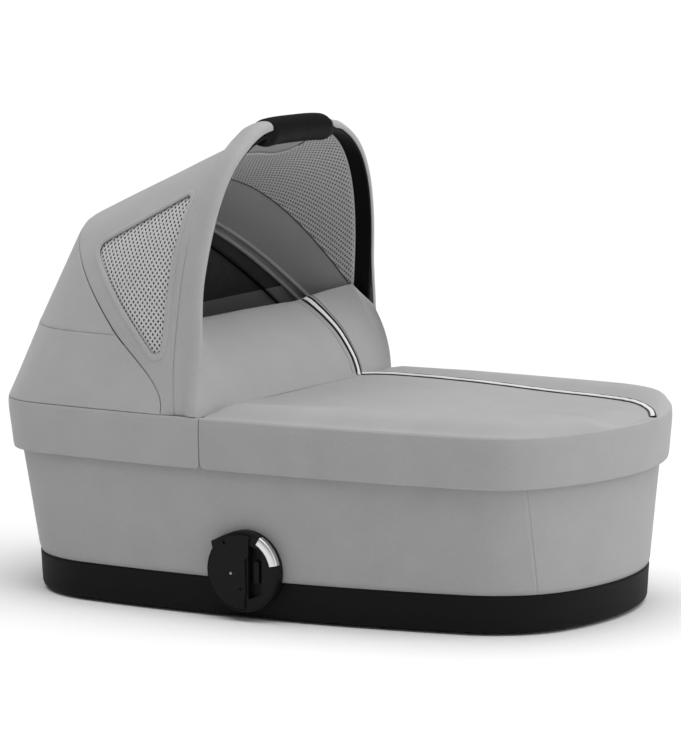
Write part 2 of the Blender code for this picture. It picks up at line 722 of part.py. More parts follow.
def build_wind_flap():
    shares = [sin(pi / 2 * k / 8) for k in range(-8, 9)]
    rows = [[flap_point(s, up) for s in shares] for up in (0.0, 0.12, 0.3, 0.5, 0.7, 0.85, 1.0)]
    made = sheet("wind_flap", rows, FABRIC, FLAP_THICK, offset=1.0)
    return made


def resampled(points, count):
    """Evenly spaced points along a polyline."""
    steps = [0.0]
    for a, b in zip(points, points[1:]):
        steps.append(steps[-1] + (b - a).length)
    out = []
    k = 0
    for n in range(count):
        target = steps[-1] * n / (count - 1)
        while k < len(points) - 2 and steps[k + 1] < target:
            k += 1
        span = steps[k + 1] - steps[k] or 1.0
        out.append(points[k].lerp(points[k + 1], (target - steps[k]) / span))
    return out


def superellipse(half, reach, squareness, start=0.0, samples=240):
    """In-plane hoop points (across, up) from the near foot over the top to the far foot."""
    points = []
    for k in range(samples + 1):
        a = pi * k / samples
        across = -half * (1 if cos(a) > 0 else -1) * abs(cos(a)) ** (2 / squareness)
        up = reach * max(sin(a), 0.0) ** (2 / squareness)
        if up >= start:
            points.append(Vector((across, up)))
    return points


def hoop_axes(lean):
    """Unit vectors of a bow's plane: up along the bow, and ahead, square to it."""
    up = Vector((sin(radians(lean)), 0.0, cos(radians(lean))))
    ahead = Vector((cos(radians(lean)), 0.0, -sin(radians(lean))))
    return up, ahead


PIVOT = Vector((PIVOT_X, 0.0, PIVOT_Z))


def strip_mesh(name, half, reach, squareness, lean, deep, thick, corner, count, span=None):
    """A flat strip bent along a hoop. half and reach are those of its inner face."""
    up, ahead = hoop_axes(lean)
    centre = superellipse(half + thick / 2, reach + thick / 2, squareness)
    if span:
        centre = [p for p in centre if abs(p.x) <= span]
    centre = resampled(centre, count)
    rings = []
    for k, p in enumerate(centre):
        before, after = centre[max(k - 1, 0)], centre[min(k + 1, count - 1)]
        along = (after - before).normalized()
        out = Vector((-along.y, along.x))
        if out.y < 0 and abs(p.x) < half * 0.5:
            out = -out
        ring = []
        for a, b in ((-1, -1), (1, -1), (1, 1), (-1, 1)):
            for first in ((False, True) if a == b else (True, False)):
                da = corner if first else 0.0
                db = 0.0 if first else corner
                q = p + out * b * (thick / 2 - db)
                ring.append(PIVOT + up * q.y + Vector((0, q.x, 0)) + ahead * a * (deep / 2 - da))
        rings.append(ring)
    return grid_mesh(name, rings, closed=True, cap_first=True, cap_last=True)


def build_bows():
    front = place("front_bow", strip_mesh("front_bow", BOW_HALF, BOW_REACH, BOW_SQUARENESS,
                                          FRONT_LEAN, BOW_DEEP, BOW_THICK, BOW_CORNER, 33), BLACK)
    rear = place("rear_bow", strip_mesh("rear_bow", REAR_BOW_HALF, REAR_BOW_REACH,
                                        REAR_BOW_SQUARENESS, -REAR_LEAN, REAR_BOW_DEEP,
                                        REAR_BOW_THICK, BOW_CORNER / 2, 27), BLACK)
    for bow, half, thick, radius in ((front, BOW_HALF, BOW_THICK, EYE_RADIUS),
                                     (rear, REAR_BOW_HALF, REAR_BOW_THICK, REAR_EYE_RADIUS)):
        for side, word in ((1, "left"), (-1, "right")):
            name = f"{bow.name}_eye_{word}"
            eye = cylinder_mesh(name, (PIVOT_X, side * half, PIVOT_Z),
                                (PIVOT_X, side * (half + thick), PIVOT_Z), radius)
            boolean(bow, cutter(name, eye), "UNION")
        name = f"{bow.name}_pin_hole"
        hole = cylinder_mesh(name, (PIVOT_X, -RIM_WIDTH, PIVOT_Z), (PIVOT_X, RIM_WIDTH, PIVOT_Z),
                             PIN_RADIUS + GAP, 20)
        boolean(bow, cutter(name, hole))


def build_pivots():
    """Brackets fixed to the tub wall, with the pins and the release buttons."""
    inner = REAR_BOW_HALF - GAP - BRACKET_THICK
    outer_face = REAR_BOW_HALF - GAP
    pad_z = PIVOT_Z - BRACKET_DROP
    narrow = rim.station_at_x(PIVOT_X - BRACKET_WIDE / 2 - OVERRUN)
    wall = abs(wall_at(narrow, WALL_TOP, LINING_INNER).y) - GAP
    pad_top = WALL_TOP - FRAME_DEEP - GAP - OVERRUN
    for side, word in ((1, "left"), (-1, "right")):
        name = f"pivot_bracket_{word}"
        bracket = place(name, cylinder_mesh(name, (PIVOT_X, side * inner, PIVOT_Z),
                                            (PIVOT_X, side * outer_face, PIVOT_Z), BRACKET_RADIUS),
                        BLACK)
        low = (PIVOT_X - BRACKET_WIDE / 2, min(side * inner, side * outer_face), pad_z)
        high = (PIVOT_X + BRACKET_WIDE / 2, max(side * inner, side * outer_face), PIVOT_Z)
        boolean(bracket, cutter(name + "_arm", box_mesh(name + "_arm", low, high)), "UNION")
        low = (PIVOT_X - BRACKET_WIDE / 2, min(side * inner, side * wall), pad_z)
        high = (PIVOT_X + BRACKET_WIDE / 2, max(side * inner, side * wall),
                min(pad_z + BRACKET_PAD_HIGH, pad_top))
        boolean(bracket, cutter(name + "_pad", box_mesh(name + "_pad", low, high)), "UNION")
        pocket = cylinder_mesh(name + "_pocket", (PIVOT_X, side * (inner - OVERRUN), PIVOT_Z),
                               (PIVOT_X, side * (inner + BUTTON_POCKET), PIVOT_Z),
                               BUTTON_RADIUS + GAP)
        boolean(bracket, cutter(name + "_pocket", pocket))
        hole = cylinder_mesh(name + "_hole", (PIVOT_X, side * inner, PIVOT_Z),
                             (PIVOT_X, side * (outer_face + OVERRUN), PIVOT_Z), PIN_RADIUS + GAP, 20)
        boolean(bracket, cutter(name + "_hole", hole))
        end = BOW_HALF + BOW_THICK
        start = inner + BUTTON_POCKET + GAP
        length = end - start
        profile = [(0.0, length), (PIN_RADIUS, length), (PIN_RADIUS, 0.0), (0.0, 0.0)]
        turned(f"hood_pin_{word}", profile, (PIVOT_X, side * start, PIVOT_Z),
               "+Y" if side == 1 else "-Y", STEEL, 20)
        button_back = inner + BUTTON_POCKET - GAP - BUTTON_TRAVEL
        profile = [(0.0, BUTTON_PROUD), (BUTTON_RADIUS * 0.7, BUTTON_PROUD),
                   (BUTTON_RADIUS, BUTTON_PROUD * 0.8), (BUTTON_RADIUS, 0.0), (0.0, 0.0)]
        turned(f"hood_button_{word}", profile, (PIVOT_X, side * button_back, PIVOT_Z),
               "-Y" if side == 1 else "+Y", RUBBER, 24)


def build_grip():
    """The padded grip, threaded on the middle of the front bow."""
    up, ahead = hoop_axes(FRONT_LEAN)
    centre = superellipse(BOW_HALF + BOW_THICK / 2, BOW_REACH + BOW_THICK / 2 - GRIP_DROP,
                          BOW_SQUARENESS)
    top = [p for p in centre if abs(p.x) <= GRIP_HALF]
    spine = resampled(top, 14)
    sides = 16
    rings = []
    for p in spine:
        end = smooth(GRIP_HALF - abs(p.x), 0.0, GRIP_ROUND)
        scale = GRIP_END_SHARE + (1 - GRIP_END_SHARE) * end ** 0.6
        ring = []
        for k in range(sides):
            a = 2 * pi * k / sides
            ring.append(PIVOT + up * (p.y + scale * GRIP_HIGH / 2 * sin(a)) + Vector((0, p.x, 0))
                        + ahead * GRIP_DEEP / 2 * max(scale, BOW_DEEP / GRIP_DEEP + 0.12) * cos(a))
        rings.append(ring)
    grip = place("handle_grip", grid_mesh("handle_grip", rings, closed=True, cap_first=True,
                                          cap_last=True), LEATHER)
    slot = strip_mesh("grip_slot", BOW_HALF - GAP, BOW_REACH - GAP, BOW_SQUARENESS, FRONT_LEAN,
                      BOW_DEEP + 2 * GAP, BOW_THICK + 2 * GAP, BOW_CORNER, 33)
    boolean(grip, cutter("grip_slot", slot))


def fabric_hoop(half, reach, squareness, lean, offset, foot_x):
    """One hoop of the hood's outer face, flared at its feet to stand on the rim."""
    up, ahead = hoop_axes(lean)
    flat = superellipse(half, reach, squareness)
    points = [PIVOT + up * p.y + Vector((0, p.x, 0)) + ahead * offset for p in flat]
    foot_z = RIM_TOP + FABRIC_LIFT
    points = [p for p in points if p.z >= foot_z]
    rim_y = rim.half_width(foot_x) - FABRIC_RIM_INSET
    out = []
    for p in resampled(points, 6 * HOOP_POINTS):
        t = min(max((FABRIC_FLARE_Z - p.z) / (FABRIC_FLARE_Z - foot_z), 0.0), 1.0) ** 1.8
        side = 1 if p.y > 0 else -1
        out.append(Vector((p.x + (foot_x - p.x) * t, p.y + (side * rim_y - p.y) * t, p.z)))
    out = resampled(out, HOOP_POINTS)
    out[0].z = out[-1].z = foot_z
    return out


SKIN = BOW_THICK + FABRIC_OFF_BOW + FABRIC_THICK
REAR_SKIN = REAR_BOW_THICK + FABRIC_OFF_REAR_BOW + FABRIC_THICK


def front_hoops(inset=0.0):
    """Front edge, back of the sleeve, and the seam over the rear bow."""
    half, reach = BOW_HALF + SKIN - inset, BOW_REACH + SKIN - inset
    return (fabric_hoop(half, reach, BOW_SQUARENESS, FRONT_LEAN, FABRIC_FRONT_OFFSET,
                        FABRIC_FRONT_FOOT_X),
            fabric_hoop(half, reach, BOW_SQUARENESS, FRONT_LEAN, -BOW_DEEP / 2,
                        FABRIC_BACK_FOOT_X),
            seam_hoop(inset))


def seam_hoop(inset=0.0):
    return fabric_hoop(REAR_BOW_HALF + REAR_SKIN - inset, REAR_BOW_REACH + REAR_SKIN - inset,
                       REAR_BOW_SQUARENESS, -REAR_LEAN, 0.0, FABRIC_SEAM_FOOT_X)


def rear_edge(inset=0.0):
    """The hood's lower edge round the head end, from the near seam foot to the far one."""
    start = rim.station_at_x(FABRIC_SEAM_FOOT_X)
    steps = 60
    half = []
    for k in range(steps + 1):
        p = rim.at(start + (5.0 - start) * k / steps, FABRIC_RIM_INSET + inset)[0]
        half.append(Vector((p.x, p.y, RIM_TOP + FABRIC_LIFT)))
    near = [Vector((p.x, -p.y, p.z)) for p in half]
    return resampled(near + list(reversed(half[:-1])), HOOP_POINTS)


def between(a, b, t, sag):
    """A hoop between two others, drawn in a little as stretched cloth is."""
    drawn = sag * 4 * t * (1 - t)
    row = []
    for k, (p, q) in enumerate(zip(a, b)):
        point = p.lerp(q, t)
        inward = Vector((PIVOT_X - point.x, -point.y, RIM_TOP - point.z)).normalized()
        foot = sin(pi * k / (len(a) - 1)) ** 0.5
        row.append(point + inward * drawn * foot)
    row[0].z = row[-1].z = RIM_TOP + FABRIC_LIFT
    return row


def window_corners():
    """The side windows' triangle in X and Z, laid between the bows."""
    return [(PIVOT_X + back * BOW_REACH, PIVOT_Z + up * BOW_REACH)
            for back, up in WINDOW_CORNER_SHARES]


def inner_hoop(half, reach, squareness, lean, offset):
    up, ahead = hoop_axes(lean)
    flat = superellipse(half, reach, squareness)
    points = [PIVOT + up * p.y + Vector((0, p.x, 0)) + ahead * offset for p in flat]
    row = resampled([p for p in points if p.z >= LINING_START_Z], HOOP_POINTS)
    row[0].z = row[-1].z = LINING_START_Z
    return row


def build_hood_lining(*cuts):
    """The inner cloth between the two bows."""
    first = inner_hoop(BOW_HALF - LINING_CLEAR, BOW_REACH - LINING_CLEAR, BOW_SQUARENESS,
                       FRONT_LEAN, LINING_LAP - BOW_DEEP / 2)
    last = inner_hoop(REAR_BOW_HALF - LINING_CLEAR, REAR_BOW_REACH - LINING_CLEAR,
                      REAR_BOW_SQUARENESS, -REAR_LEAN, 0.0)
    steps = ROWS_FRONT_PANEL - 2
    rows = [[p.lerp(q, k / steps) for p, q in zip(first, last)] for k in range(steps + 1)]
    lining = sheet("hood_lining", rows, LINING, LINING_THICK)
    for cut in cuts:
        boolean(lining, cut)


def build_hood_fabric():
    edge, back, seam = front_hoops()
    rows = [edge, [p.lerp(q, 0.5) for p, q in zip(edge, back)], back]
    rows += [between(back, seam, k / ROWS_FRONT_PANEL, FABRIC_SAG)
             for k in range(1, ROWS_FRONT_PANEL + 1)]
    front = sheet("hood_front_panel", rows, FABRIC, FABRIC_THICK)
    outline = rounded(window_corners(), WINDOW_CORNER)
    window_cut = cutter("window_cut", prism_mesh("window_cut", outline, -RIM_WIDTH, RIM_WIDTH))
    boolean(front, window_cut)
    up, ahead = hoop_axes(FRONT_LEAN)
    crest = PIVOT + up * (BOW_REACH + SKIN)
    slot = rounded(((crest.x + RIM_WIDTH / 4, -SLOT_HALF), (crest.x + RIM_WIDTH / 4, SLOT_HALF),
                    (crest.x - SLOT_BACK, SLOT_HALF), (crest.x - SLOT_BACK, -SLOT_HALF)),
                   SLOT_CORNER)
    grip_opening = cutter("grip_opening", prism_mesh("grip_opening", slot, PIVOT_Z + BOW_REACH / 2,
                                                     PIVOT_Z + BOW_REACH * 1.2, "Z"))
    boolean(front, grip_opening)
    lining_outline = grown(outline, NET_LAP * 1.8)
    lining_cut = cutter("lining_window_cut",
                        prism_mesh("lining_window_cut", lining_outline, -RIM_WIDTH, RIM_WIDTH))
    build_hood_lining(lining_cut, grip_opening)

    low_edge = rear_edge()
    seam = [p + (q - p - Vector((SEAM_SPLIT * 10, 0, 0))).normalized() * SEAM_SPLIT
            for p, q in zip(seam, low_edge)]
    rows = [between(seam, low_edge, k / ROWS_REAR_PANEL, FABRIC_SAG)
            for k in range(ROWS_REAR_PANEL + 1)]
    whole = grid_mesh("rear_fabric", rows)
    for name, keep_above in (("hood_back_panel", True), ("hood_skirt", False)):
        bm = bmesh.new()
        bm.from_mesh(whole)
        z = REAR_SEAM_Z + (GAP if keep_above else -GAP)
        bmesh.ops.bisect_plane(bm, geom=bm.verts[:] + bm.edges[:] + bm.faces[:],
                               plane_co=(0, 0, z), plane_no=(0, 0, 1),
                               clear_inner=keep_above, clear_outer=not keep_above)
        made = place(name, mesh_from(name, bm), FABRIC)
        solid = made.modifiers.new("thickness", "SOLIDIFY")
        solid.thickness = FABRIC_THICK
        solid.offset = -1.0
    bpy.data.meshes.remove(whole)

    bm = bmesh.new()
    bm.from_mesh(front.data)
    skin = BVHTree.FromBMesh(bm)
    bm.free()
    build_window_nets(skin)


def grown(outline, margin):
    """An outline moved out from its middle by a margin."""
    middle = Vector((sum(p[0] for p in outline), sum(p[1] for p in outline))) / len(outline)
    return [tuple(middle + (Vector(p) - middle) * (1 + margin / (Vector(p) - middle).length))
            for p in outline]


def net_loops(outline):
    """Closed loops in X and Z: the net's outline, then its diamond holes."""
    lows = [min(p[k] for p in outline) for k in (0, 1)]
    highs = [max(p[k] for p in outline) for k in (0, 1)]
    half = NET_HOLE / 2
    loops = [outline]
    row = 0
    z = lows[1] + NET_PITCH / 2
    while z < highs[1]:
        x = lows[0] + (NET_PITCH / 2 if row % 2 else 0.0)
        while x < highs[0]:
            if inside_by(Vector((x, z)), outline, half + NET_BORDER):
                loops.append([(x + half, z), (x, z + half), (x - half, z), (x, z - half)])
            x += NET_PITCH
        z += NET_PITCH / 2
        row += 1
    return loops


def build_window_nets(skin):
    """A net behind each window, following the cloth's inner face and a little wider than the hole."""
    wide = grown(rounded(window_corners(), WINDOW_CORNER, 4), NET_LAP)
    for side, word in ((1, "left"), (-1, "right")):
        bm = bmesh.new()
        for loop in net_loops(wide):
            made = [bm.verts.new((x, 0.0, z)) for x, z in loop]
            for k, v in enumerate(made):
                bm.edges.new((v, made[(k + 1) % len(made)]))
        bmesh.ops.triangle_fill(bm, use_beauty=True, use_dissolve=False, edges=bm.edges[:])
        for v in bm.verts:
            start = Vector((v.co.x, side * RIM_WIDTH, v.co.z))
            place_on, normal = skin.ray_cast(start, Vector((0, -side, 0)))[:2]
            if normal.y * side < 0:
                normal = -normal
            v.co = place_on - normal * (FABRIC_THICK + NET_GAP)
        mesh = mesh_from(f"window_net_{word}", bm)
        if mesh.polygons[0].normal.y * side < 0:
            mesh.flip_normals()
        net = place(mesh.name, mesh, NET, 0)
        solid = net.modifiers.new("thickness", "SOLIDIFY")
        solid.thickness = NET_THICK
        solid.offset = -1.0


def inside_by(point, outline, margin):
    """Whether a point lies inside a convex outline by at least a margin."""
    signs = []
    for k, a in enumerate(outline):
        a, b = Vector(a), Vector(outline[(k + 1) % len(outline)])
        edge = b - a
        signs.append((edge.x * (point.y - a.y) - edge.y * (point.x - a.x)) / edge.length)
    return min(signs) > margin or max(signs) < -margin


def sector(inner, outer, start, end, steps=8):
    """Outline of a ring sector, in (x, z)."""
    angles = [radians(start + (end - start) * k / steps) for k in range(steps + 1)]
    return ([(ADAPTER_X + outer * cos(a), ADAPTER_Z + outer * sin(a)) for a in angles]
            + [(ADAPTER_X + inner * cos(a), ADAPTER_Z + inner * sin(a)) for a in reversed(angles)])


def build_adapters():
    """The round side adapters: housing, cover plate, release clip and latch."""
    back = TRAY_WIDTH / 2 + GAP
    for side, word in ((1, "left"), (-1, "right")):
        front = back + ADAPTER_THICK

        def across(depth):
            return sorted((side * (back + depth[0]), side * (back + depth[1])))

        name = f"adapter_housing_{word}"
        profile = [(0.0, ADAPTER_THICK), (ADAPTER_RADIUS - ADAPTER_BEVEL, ADAPTER_THICK),
                   (ADAPTER_RADIUS - ADAPTER_BEVEL * 0.3, ADAPTER_THICK - ADAPTER_BEVEL * 0.3),
                   (ADAPTER_RADIUS, ADAPTER_THICK - ADAPTER_BEVEL), (ADAPTER_RADIUS, 0.0),
                   (0.0, 0.0)]
        housing = turned(name, profile, (ADAPTER_X, side * back, ADAPTER_Z),
                         "-Y" if side == -1 else "+Y", BLACK, 40)
        pocket = rounded(((ADAPTER_X + POCKET_LEFT, ADAPTER_Z - POCKET_HALF),
                          (ADAPTER_X + POCKET_RIGHT, ADAPTER_Z - POCKET_HALF * 0.75),
                          (ADAPTER_X + POCKET_RIGHT, ADAPTER_Z + POCKET_HALF * 0.75),
                          (ADAPTER_X + POCKET_LEFT, ADAPTER_Z + POCKET_HALF)), PLATE_THICK, 3)
        start, end = across((ADAPTER_THICK - POCKET_DEEP, ADAPTER_THICK + OVERRUN))
        boolean(housing, cutter(name + "_pocket", prism_mesh(name + "_pocket", pocket, start, end)))
        seat = sector(CLIP_INNER - GAP, CLIP_OUTER + GAP, CLIP_START - 0.6, CLIP_END + 0.6)
        start, end = across((ADAPTER_THICK - CLIP_POCKET, ADAPTER_THICK + OVERRUN))
        boolean(housing, cutter(name + "_seat", prism_mesh(name + "_seat", seat, start, end)))

        plate = plate_outline()
        name = f"adapter_plate_{word}"
        start, end = across((ADAPTER_THICK + GAP, ADAPTER_THICK + GAP + PLATE_THICK))
        cover = place(name, prism_mesh(name, plate, start, end), BLACK)
        holes = ((RIVET_X, RIVET_Z, RIVET_RADIUS + GAP), (LOCK_HOLE_X, LOCK_HOLE_Z, LOCK_HOLE_RADIUS))
        for n, (x, z, radius) in enumerate(holes):
            tool = cylinder_mesh(f"{name}_hole_{n + 1}",
                                 (ADAPTER_X + x, start - OVERRUN / 4, ADAPTER_Z + z),
                                 (ADAPTER_X + x, end + OVERRUN / 4, ADAPTER_Z + z), radius, 20)
            boolean(cover, cutter(tool.name, tool))
        top = PLATE_THICK + GAP
        profile = [(0.0, top), (RIVET_RADIUS * 0.7, top), (RIVET_RADIUS, top * 0.7),
                   (RIVET_RADIUS, 0.0), (0.0, 0.0)]
        turned(f"plate_rivet_{word}", profile,
               (ADAPTER_X + RIVET_X, side * (front + GAP), ADAPTER_Z + RIVET_Z),
               "-Y" if side == -1 else "+Y", STEEL, 20)

        name = f"release_clip_{word}"
        clip = sector(CLIP_INNER, CLIP_OUTER, CLIP_START, CLIP_END)
        start, end = across((ADAPTER_THICK + CLIP_PROUD - CLIP_THICK, ADAPTER_THICK + CLIP_PROUD))
        place(name, prism_mesh(name, clip, start, end), SILVER)

        name = f"latch_{word}"
        x = ADAPTER_X + (POCKET_LEFT + POCKET_RIGHT) / 2
        start, end = across((ADAPTER_THICK - POCKET_DEEP + GAP,
                             ADAPTER_THICK - POCKET_DEEP + GAP + LATCH_THICK))
        latch = place(name, box_mesh(name, (x - LATCH_WIDE / 2, start, ADAPTER_Z - LATCH_HIGH / 2),
                                     (x + LATCH_WIDE / 2, end, ADAPTER_Z + LATCH_HIGH / 2)), BLACK)
        bevel(latch, LATCH_WIDE / 8, 2)


def plate_outline():
    """The cover plate: a disc cut off straight on the right, with a small pointer lug."""
    radius = ADAPTER_RADIUS - PLATE_INSET
    edge = POCKET_LEFT - PLATE_INSET / 4
    limit = degrees(atan2((radius ** 2 - edge ** 2) ** 0.5, edge))
    points = []
    steps = 40
    for k in range(steps + 1):
        angle = limit + (360 - 2 * limit) * k / steps
        away = abs(angle - PLATE_LUG_ANGLE) / PLATE_LUG_SPREAD
        grown = radius + PLATE_LUG * max(0.0, 1 - away)
        points.append((ADAPTER_X + grown * cos(radians(angle)),
                       ADAPTER_Z + grown * sin(radians(angle))))
    return points


build_base_tray()
build_tray_underside()
build_wall()
build_mattress()
build_rim_frame()
build_rim_band()
build_apron()
build_wind_flap()
build_bows()
build_pivots()
build_grip()
build_hood_fabric()
build_adapters()
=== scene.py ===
from contextlib import contextmanager
from math import atan2, cos, exp, hypot, pi, radians, sin, tan
import bmesh
import bpy
import numpy as np
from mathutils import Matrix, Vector, noise
from mathutils.bvhtree import BVHTree


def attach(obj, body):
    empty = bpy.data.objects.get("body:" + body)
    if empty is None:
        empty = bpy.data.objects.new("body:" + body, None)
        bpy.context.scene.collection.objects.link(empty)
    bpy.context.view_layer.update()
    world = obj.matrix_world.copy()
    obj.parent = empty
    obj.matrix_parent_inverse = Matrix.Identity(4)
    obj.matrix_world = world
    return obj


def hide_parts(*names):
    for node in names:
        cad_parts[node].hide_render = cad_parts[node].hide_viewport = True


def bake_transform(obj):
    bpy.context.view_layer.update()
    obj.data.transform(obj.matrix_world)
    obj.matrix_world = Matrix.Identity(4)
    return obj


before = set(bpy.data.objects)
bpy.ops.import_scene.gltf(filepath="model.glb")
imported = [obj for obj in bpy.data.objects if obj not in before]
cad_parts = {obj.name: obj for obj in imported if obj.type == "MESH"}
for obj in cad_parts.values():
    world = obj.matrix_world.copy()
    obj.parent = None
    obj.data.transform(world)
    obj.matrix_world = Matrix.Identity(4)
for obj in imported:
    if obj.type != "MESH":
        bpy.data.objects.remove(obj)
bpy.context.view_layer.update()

scene = bpy.context.scene
print("frame loaded:", len(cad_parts), "nodes")


# shader sums

def grey(value):
    return (value, value, value, 1.0)


class Wire:
    # one socket of a material, used like a number
    def __init__(self, tree, socket=None):
        self.tree, self.socket = tree, socket

    def node(self, kind, settings=(), sockets=(), out=0):
        made = self.tree.nodes.new("ShaderNode" + kind)
        for name, value in dict(settings).items():
            setattr(made, name, value)
        for name, value in dict(sockets).items():
            if isinstance(value, Wire):
                self.tree.links.new(value.socket, made.inputs[name])
            else:
                made.inputs[name].default_value = value
        return Wire(self.tree, made.outputs[out])

    def maths(self, operation, other=0.0):
        return self.node("Math", {"operation": operation}, {0: self, 1: other})

    def __add__(self, other):
        return self.maths("ADD", other)

    def __sub__(self, other):
        return self.maths("SUBTRACT", other)

    def __mul__(self, other):
        return self.maths("MULTIPLY", other)

    def part(self, k):
        return self.node("SeparateXYZ", {}, {0: self}, out=k)

    def speckle(self, scale, detail=2.0, roughness=0.5):
        return self.node("TexNoise", {}, {"Vector": self, "Scale": scale, "Detail": detail,
                                          "Roughness": roughness})

    def ramp(self, low, high):
        # black up to low, white from high
        made = self.node("ValToRGB", {}, {0: self})
        for element, place in zip(made.socket.node.color_ramp.elements, (low, high)):
            element.position = place
        return made

    def tones(self, first, second):
        return self.node("Mix", {"data_type": "RGBA"}, {0: self, 6: grey(first), 7: grey(second)},
                         out=2)

    def bump(self, strength, distance):
        return self.node("Bump", {}, {"Strength": strength, "Distance": distance, "Height": self})


def material(name, fixed, varying):
    # varying gives the colour, roughness and normal at a place on the object
    made = bpy.data.materials.new(name)
    made.use_nodes = True
    shader = made.node_tree.nodes["Principled BSDF"]
    for socket, value in fixed.items():
        shader.inputs[socket].default_value = value
    place = Wire(made.node_tree).node("TexCoord", out=3)
    for socket, value in zip(("Base Color", "Roughness", "Normal"), varying(place)):
        made.node_tree.links.new(value.socket, shader.inputs[socket])
    return made


def clothMaterial(name, light, dark, pitch=0.0011, roughness=0.88, relief=0.00035, sheen=0.25):
    # melange with slow patches, and threads that cross whichever way a surface faces
    def varying(place):
        fine, slow = place.speckle(1400.0), place.speckle(22.0, 3.0)
        x, y, z = (place.part(k) for k in range(3))
        turn = 2 * pi / pitch
        threads = ((x + y * 0.35) * turn).maths("SINE") * ((z + y * 0.94) * turn).maths("SINE")
        share = (fine * 0.75 + slow * 0.25).ramp(0.30, 0.70)
        height = (threads * 0.5 + 0.5) * 0.7 + fine * 0.6
        return (share.tones(dark, light), fine * 0.12 + (roughness - 0.06),
                height.bump(0.35, relief))
    return material(name, {"Sheen Weight": sheen, "Sheen Roughness": 0.5,
                           "Specular IOR Level": 0.25}, varying)


def mouldedMaterial(name, light, dark, roughness, grain=0.0002, scale=1700.0, specular=0.4):
    def varying(place):
        fine, slow = place.speckle(scale), place.speckle(14.0, 3.0)
        scuffs = place.speckle(60.0, 6.0, 0.7).ramp(0.52, 0.75)
        return ((slow * 0.7 + scuffs * 0.3).tones(dark, light),
                slow * 0.12 + fine * 0.05 + (roughness - 0.08), fine.bump(0.35, grain))
    return material(name, {"Specular IOR Level": specular}, varying)


def metalMaterial(name, tone, roughness):
    def varying(place):
        drawn = place.node("VectorMath", {"operation": "MULTIPLY"},
                           {0: place, 1: (900.0, 900.0, 40.0)})
        brushed = drawn.speckle(1.0, 3.0)
        return (brushed.tones(tone * 0.85, tone), brushed * 0.15 + (roughness - 0.07),
                brushed.bump(0.1, 0.0001))
    return material(name, {"Metallic": 1.0}, varying)


def grainedLeather(place):
    cells = place.node("TexVoronoi", {"feature": "DISTANCE_TO_EDGE"},
                       {"Vector": place, "Scale": 620.0})
    creases, slow = cells.ramp(0.0, 0.16), place.speckle(40.0, 3.0)
    return ((creases * 0.6 + slow * 0.4).tones(0.002, 0.005), slow * 0.16 + 0.5,
            creases.bump(0.4, 0.00025))


def longPlush(place):
    fur, locks = place.speckle(260.0, 4.0, 0.75), place.speckle(45.0, 3.0, 0.6)
    return ((fur * 0.6 + locks * 0.4).tones(0.045, 0.110), fur * 0.1 + 0.88,
            (fur * 0.6 + locks).bump(0.7, 0.002))


def spacerKnit(place):
    # rows of small dimples, laid out by the piece's own weave attribute; the dimples are painted
    # dark, as painted shade in their depth
    along, around = 0.0062, 0.0070
    weave = place.node("Attribute", {"attribute_name": "weave"}, out=1)
    grid = ((weave.part(0) * (2 * pi / along)).maths("COSINE")
            * (weave.part(1) * (2 * pi / around)).maths("COSINE"))
    holes, fine = (grid * 0.5 + 0.5).ramp(0.50, 0.82), place.speckle(1200.0)
    return (holes.tones(0.54, 0.15), fine * 0.1 + 0.82, (fine * 0.15 - holes).bump(0.8, 0.0012))


paleCloth = clothMaterial("pale melange cloth", 0.43, 0.345)
# the same pale cloth darkened: painted shade on the side cover and the apron's skirt, which face
# away from the lamps
sideShadeCloth = clothMaterial("pale cloth with painted shade for the sides", 0.385, 0.31)
# the same pale cloth a little darkened: painted shade on the rim band
bandShadeCloth = clothMaterial("pale cloth with painted shade for the band", 0.405, 0.325)
darkCloth = clothMaterial("dark lining cloth", 0.38, 0.32, 0.0009)
innerCloth = clothMaterial("inner lining cloth", 0.150, 0.110, 0.0014)
ticking = clothMaterial("mattress cloth", 0.20, 0.15, 0.0016)
whiteTape = clothMaterial("pale woven tape", 0.86, 0.76, 0.0007, 0.6, 0.0002, 0.1)
blackTape = clothMaterial("black woven edge", 0.016, 0.010, 0.0007)
thread = clothMaterial("pale thread", 0.50, 0.42, 0.0004)
darkThread = clothMaterial("dark thread", 0.07, 0.05, 0.0004)
netCloth = clothMaterial("net cords", 0.60, 0.50, 0.0006, 0.8)
netBack = clothMaterial("net backing", 0.30, 0.24, 0.0009)
meshLining = material("knitted spacer lining",
                      {"Sheen Weight": 0.2, "Specular IOR Level": 0.2}, spacerKnit)
plush = material("black plush", {"Sheen Weight": 0.15, "Specular IOR Level": 0.1}, longPlush)
trayBlack = mouldedMaterial("grained black tray", 0.006, 0.004, 0.62, specular=0.13)
partBlack = mouldedMaterial("smooth black plastic", 0.006, 0.004, 0.48, 0.0001, specular=0.16)
innerGrey = mouldedMaterial("inner grey plastic", 0.20, 0.16, 0.6)
rubberBlack = mouldedMaterial("rubber", 0.022, 0.014, 0.85, 0.0003, 900.0, 0.2)
leather = material("grained leatherette", {"Specular IOR Level": 0.08}, grainedLeather)
satin = metalMaterial("satin metal", 0.80, 0.30)
zinc = metalMaterial("zinc plated steel", 0.48, 0.38)
print("materials made")


# mesh helpers

def unit(value):
    return min(max(value, 0.0), 1.0)


def smooth(value, low, high):
    t = unit((value - low) / (high - low))
    return t * t * (3 - 2 * t)


def hump(value, middle, width):
    return exp(-((value - middle) / width) ** 2)


def mix(a, b, t):
    return a + (b - a) * t


def linked(name, data):
    made = bpy.data.objects.new(name, data)
    scene.collection.objects.link(made)
    return made


def formPiece(name, bm, *finishes):
    # an object from an edited form
    mesh = bpy.data.meshes.new(name)
    bm.to_mesh(mesh)
    bm.free()
    for finish in finishes:
        mesh.materials.append(finish)
    return linked(name, mesh)


def pieceFrom(name, points, faces, *finishes):
    mesh = bpy.data.meshes.new(name)
    mesh.from_pydata([tuple(p) for p in points], [], faces)
    mesh.validate()
    for finish in finishes:
        mesh.materials.append(finish)
    mesh.shade_smooth()
    return linked(name, mesh)


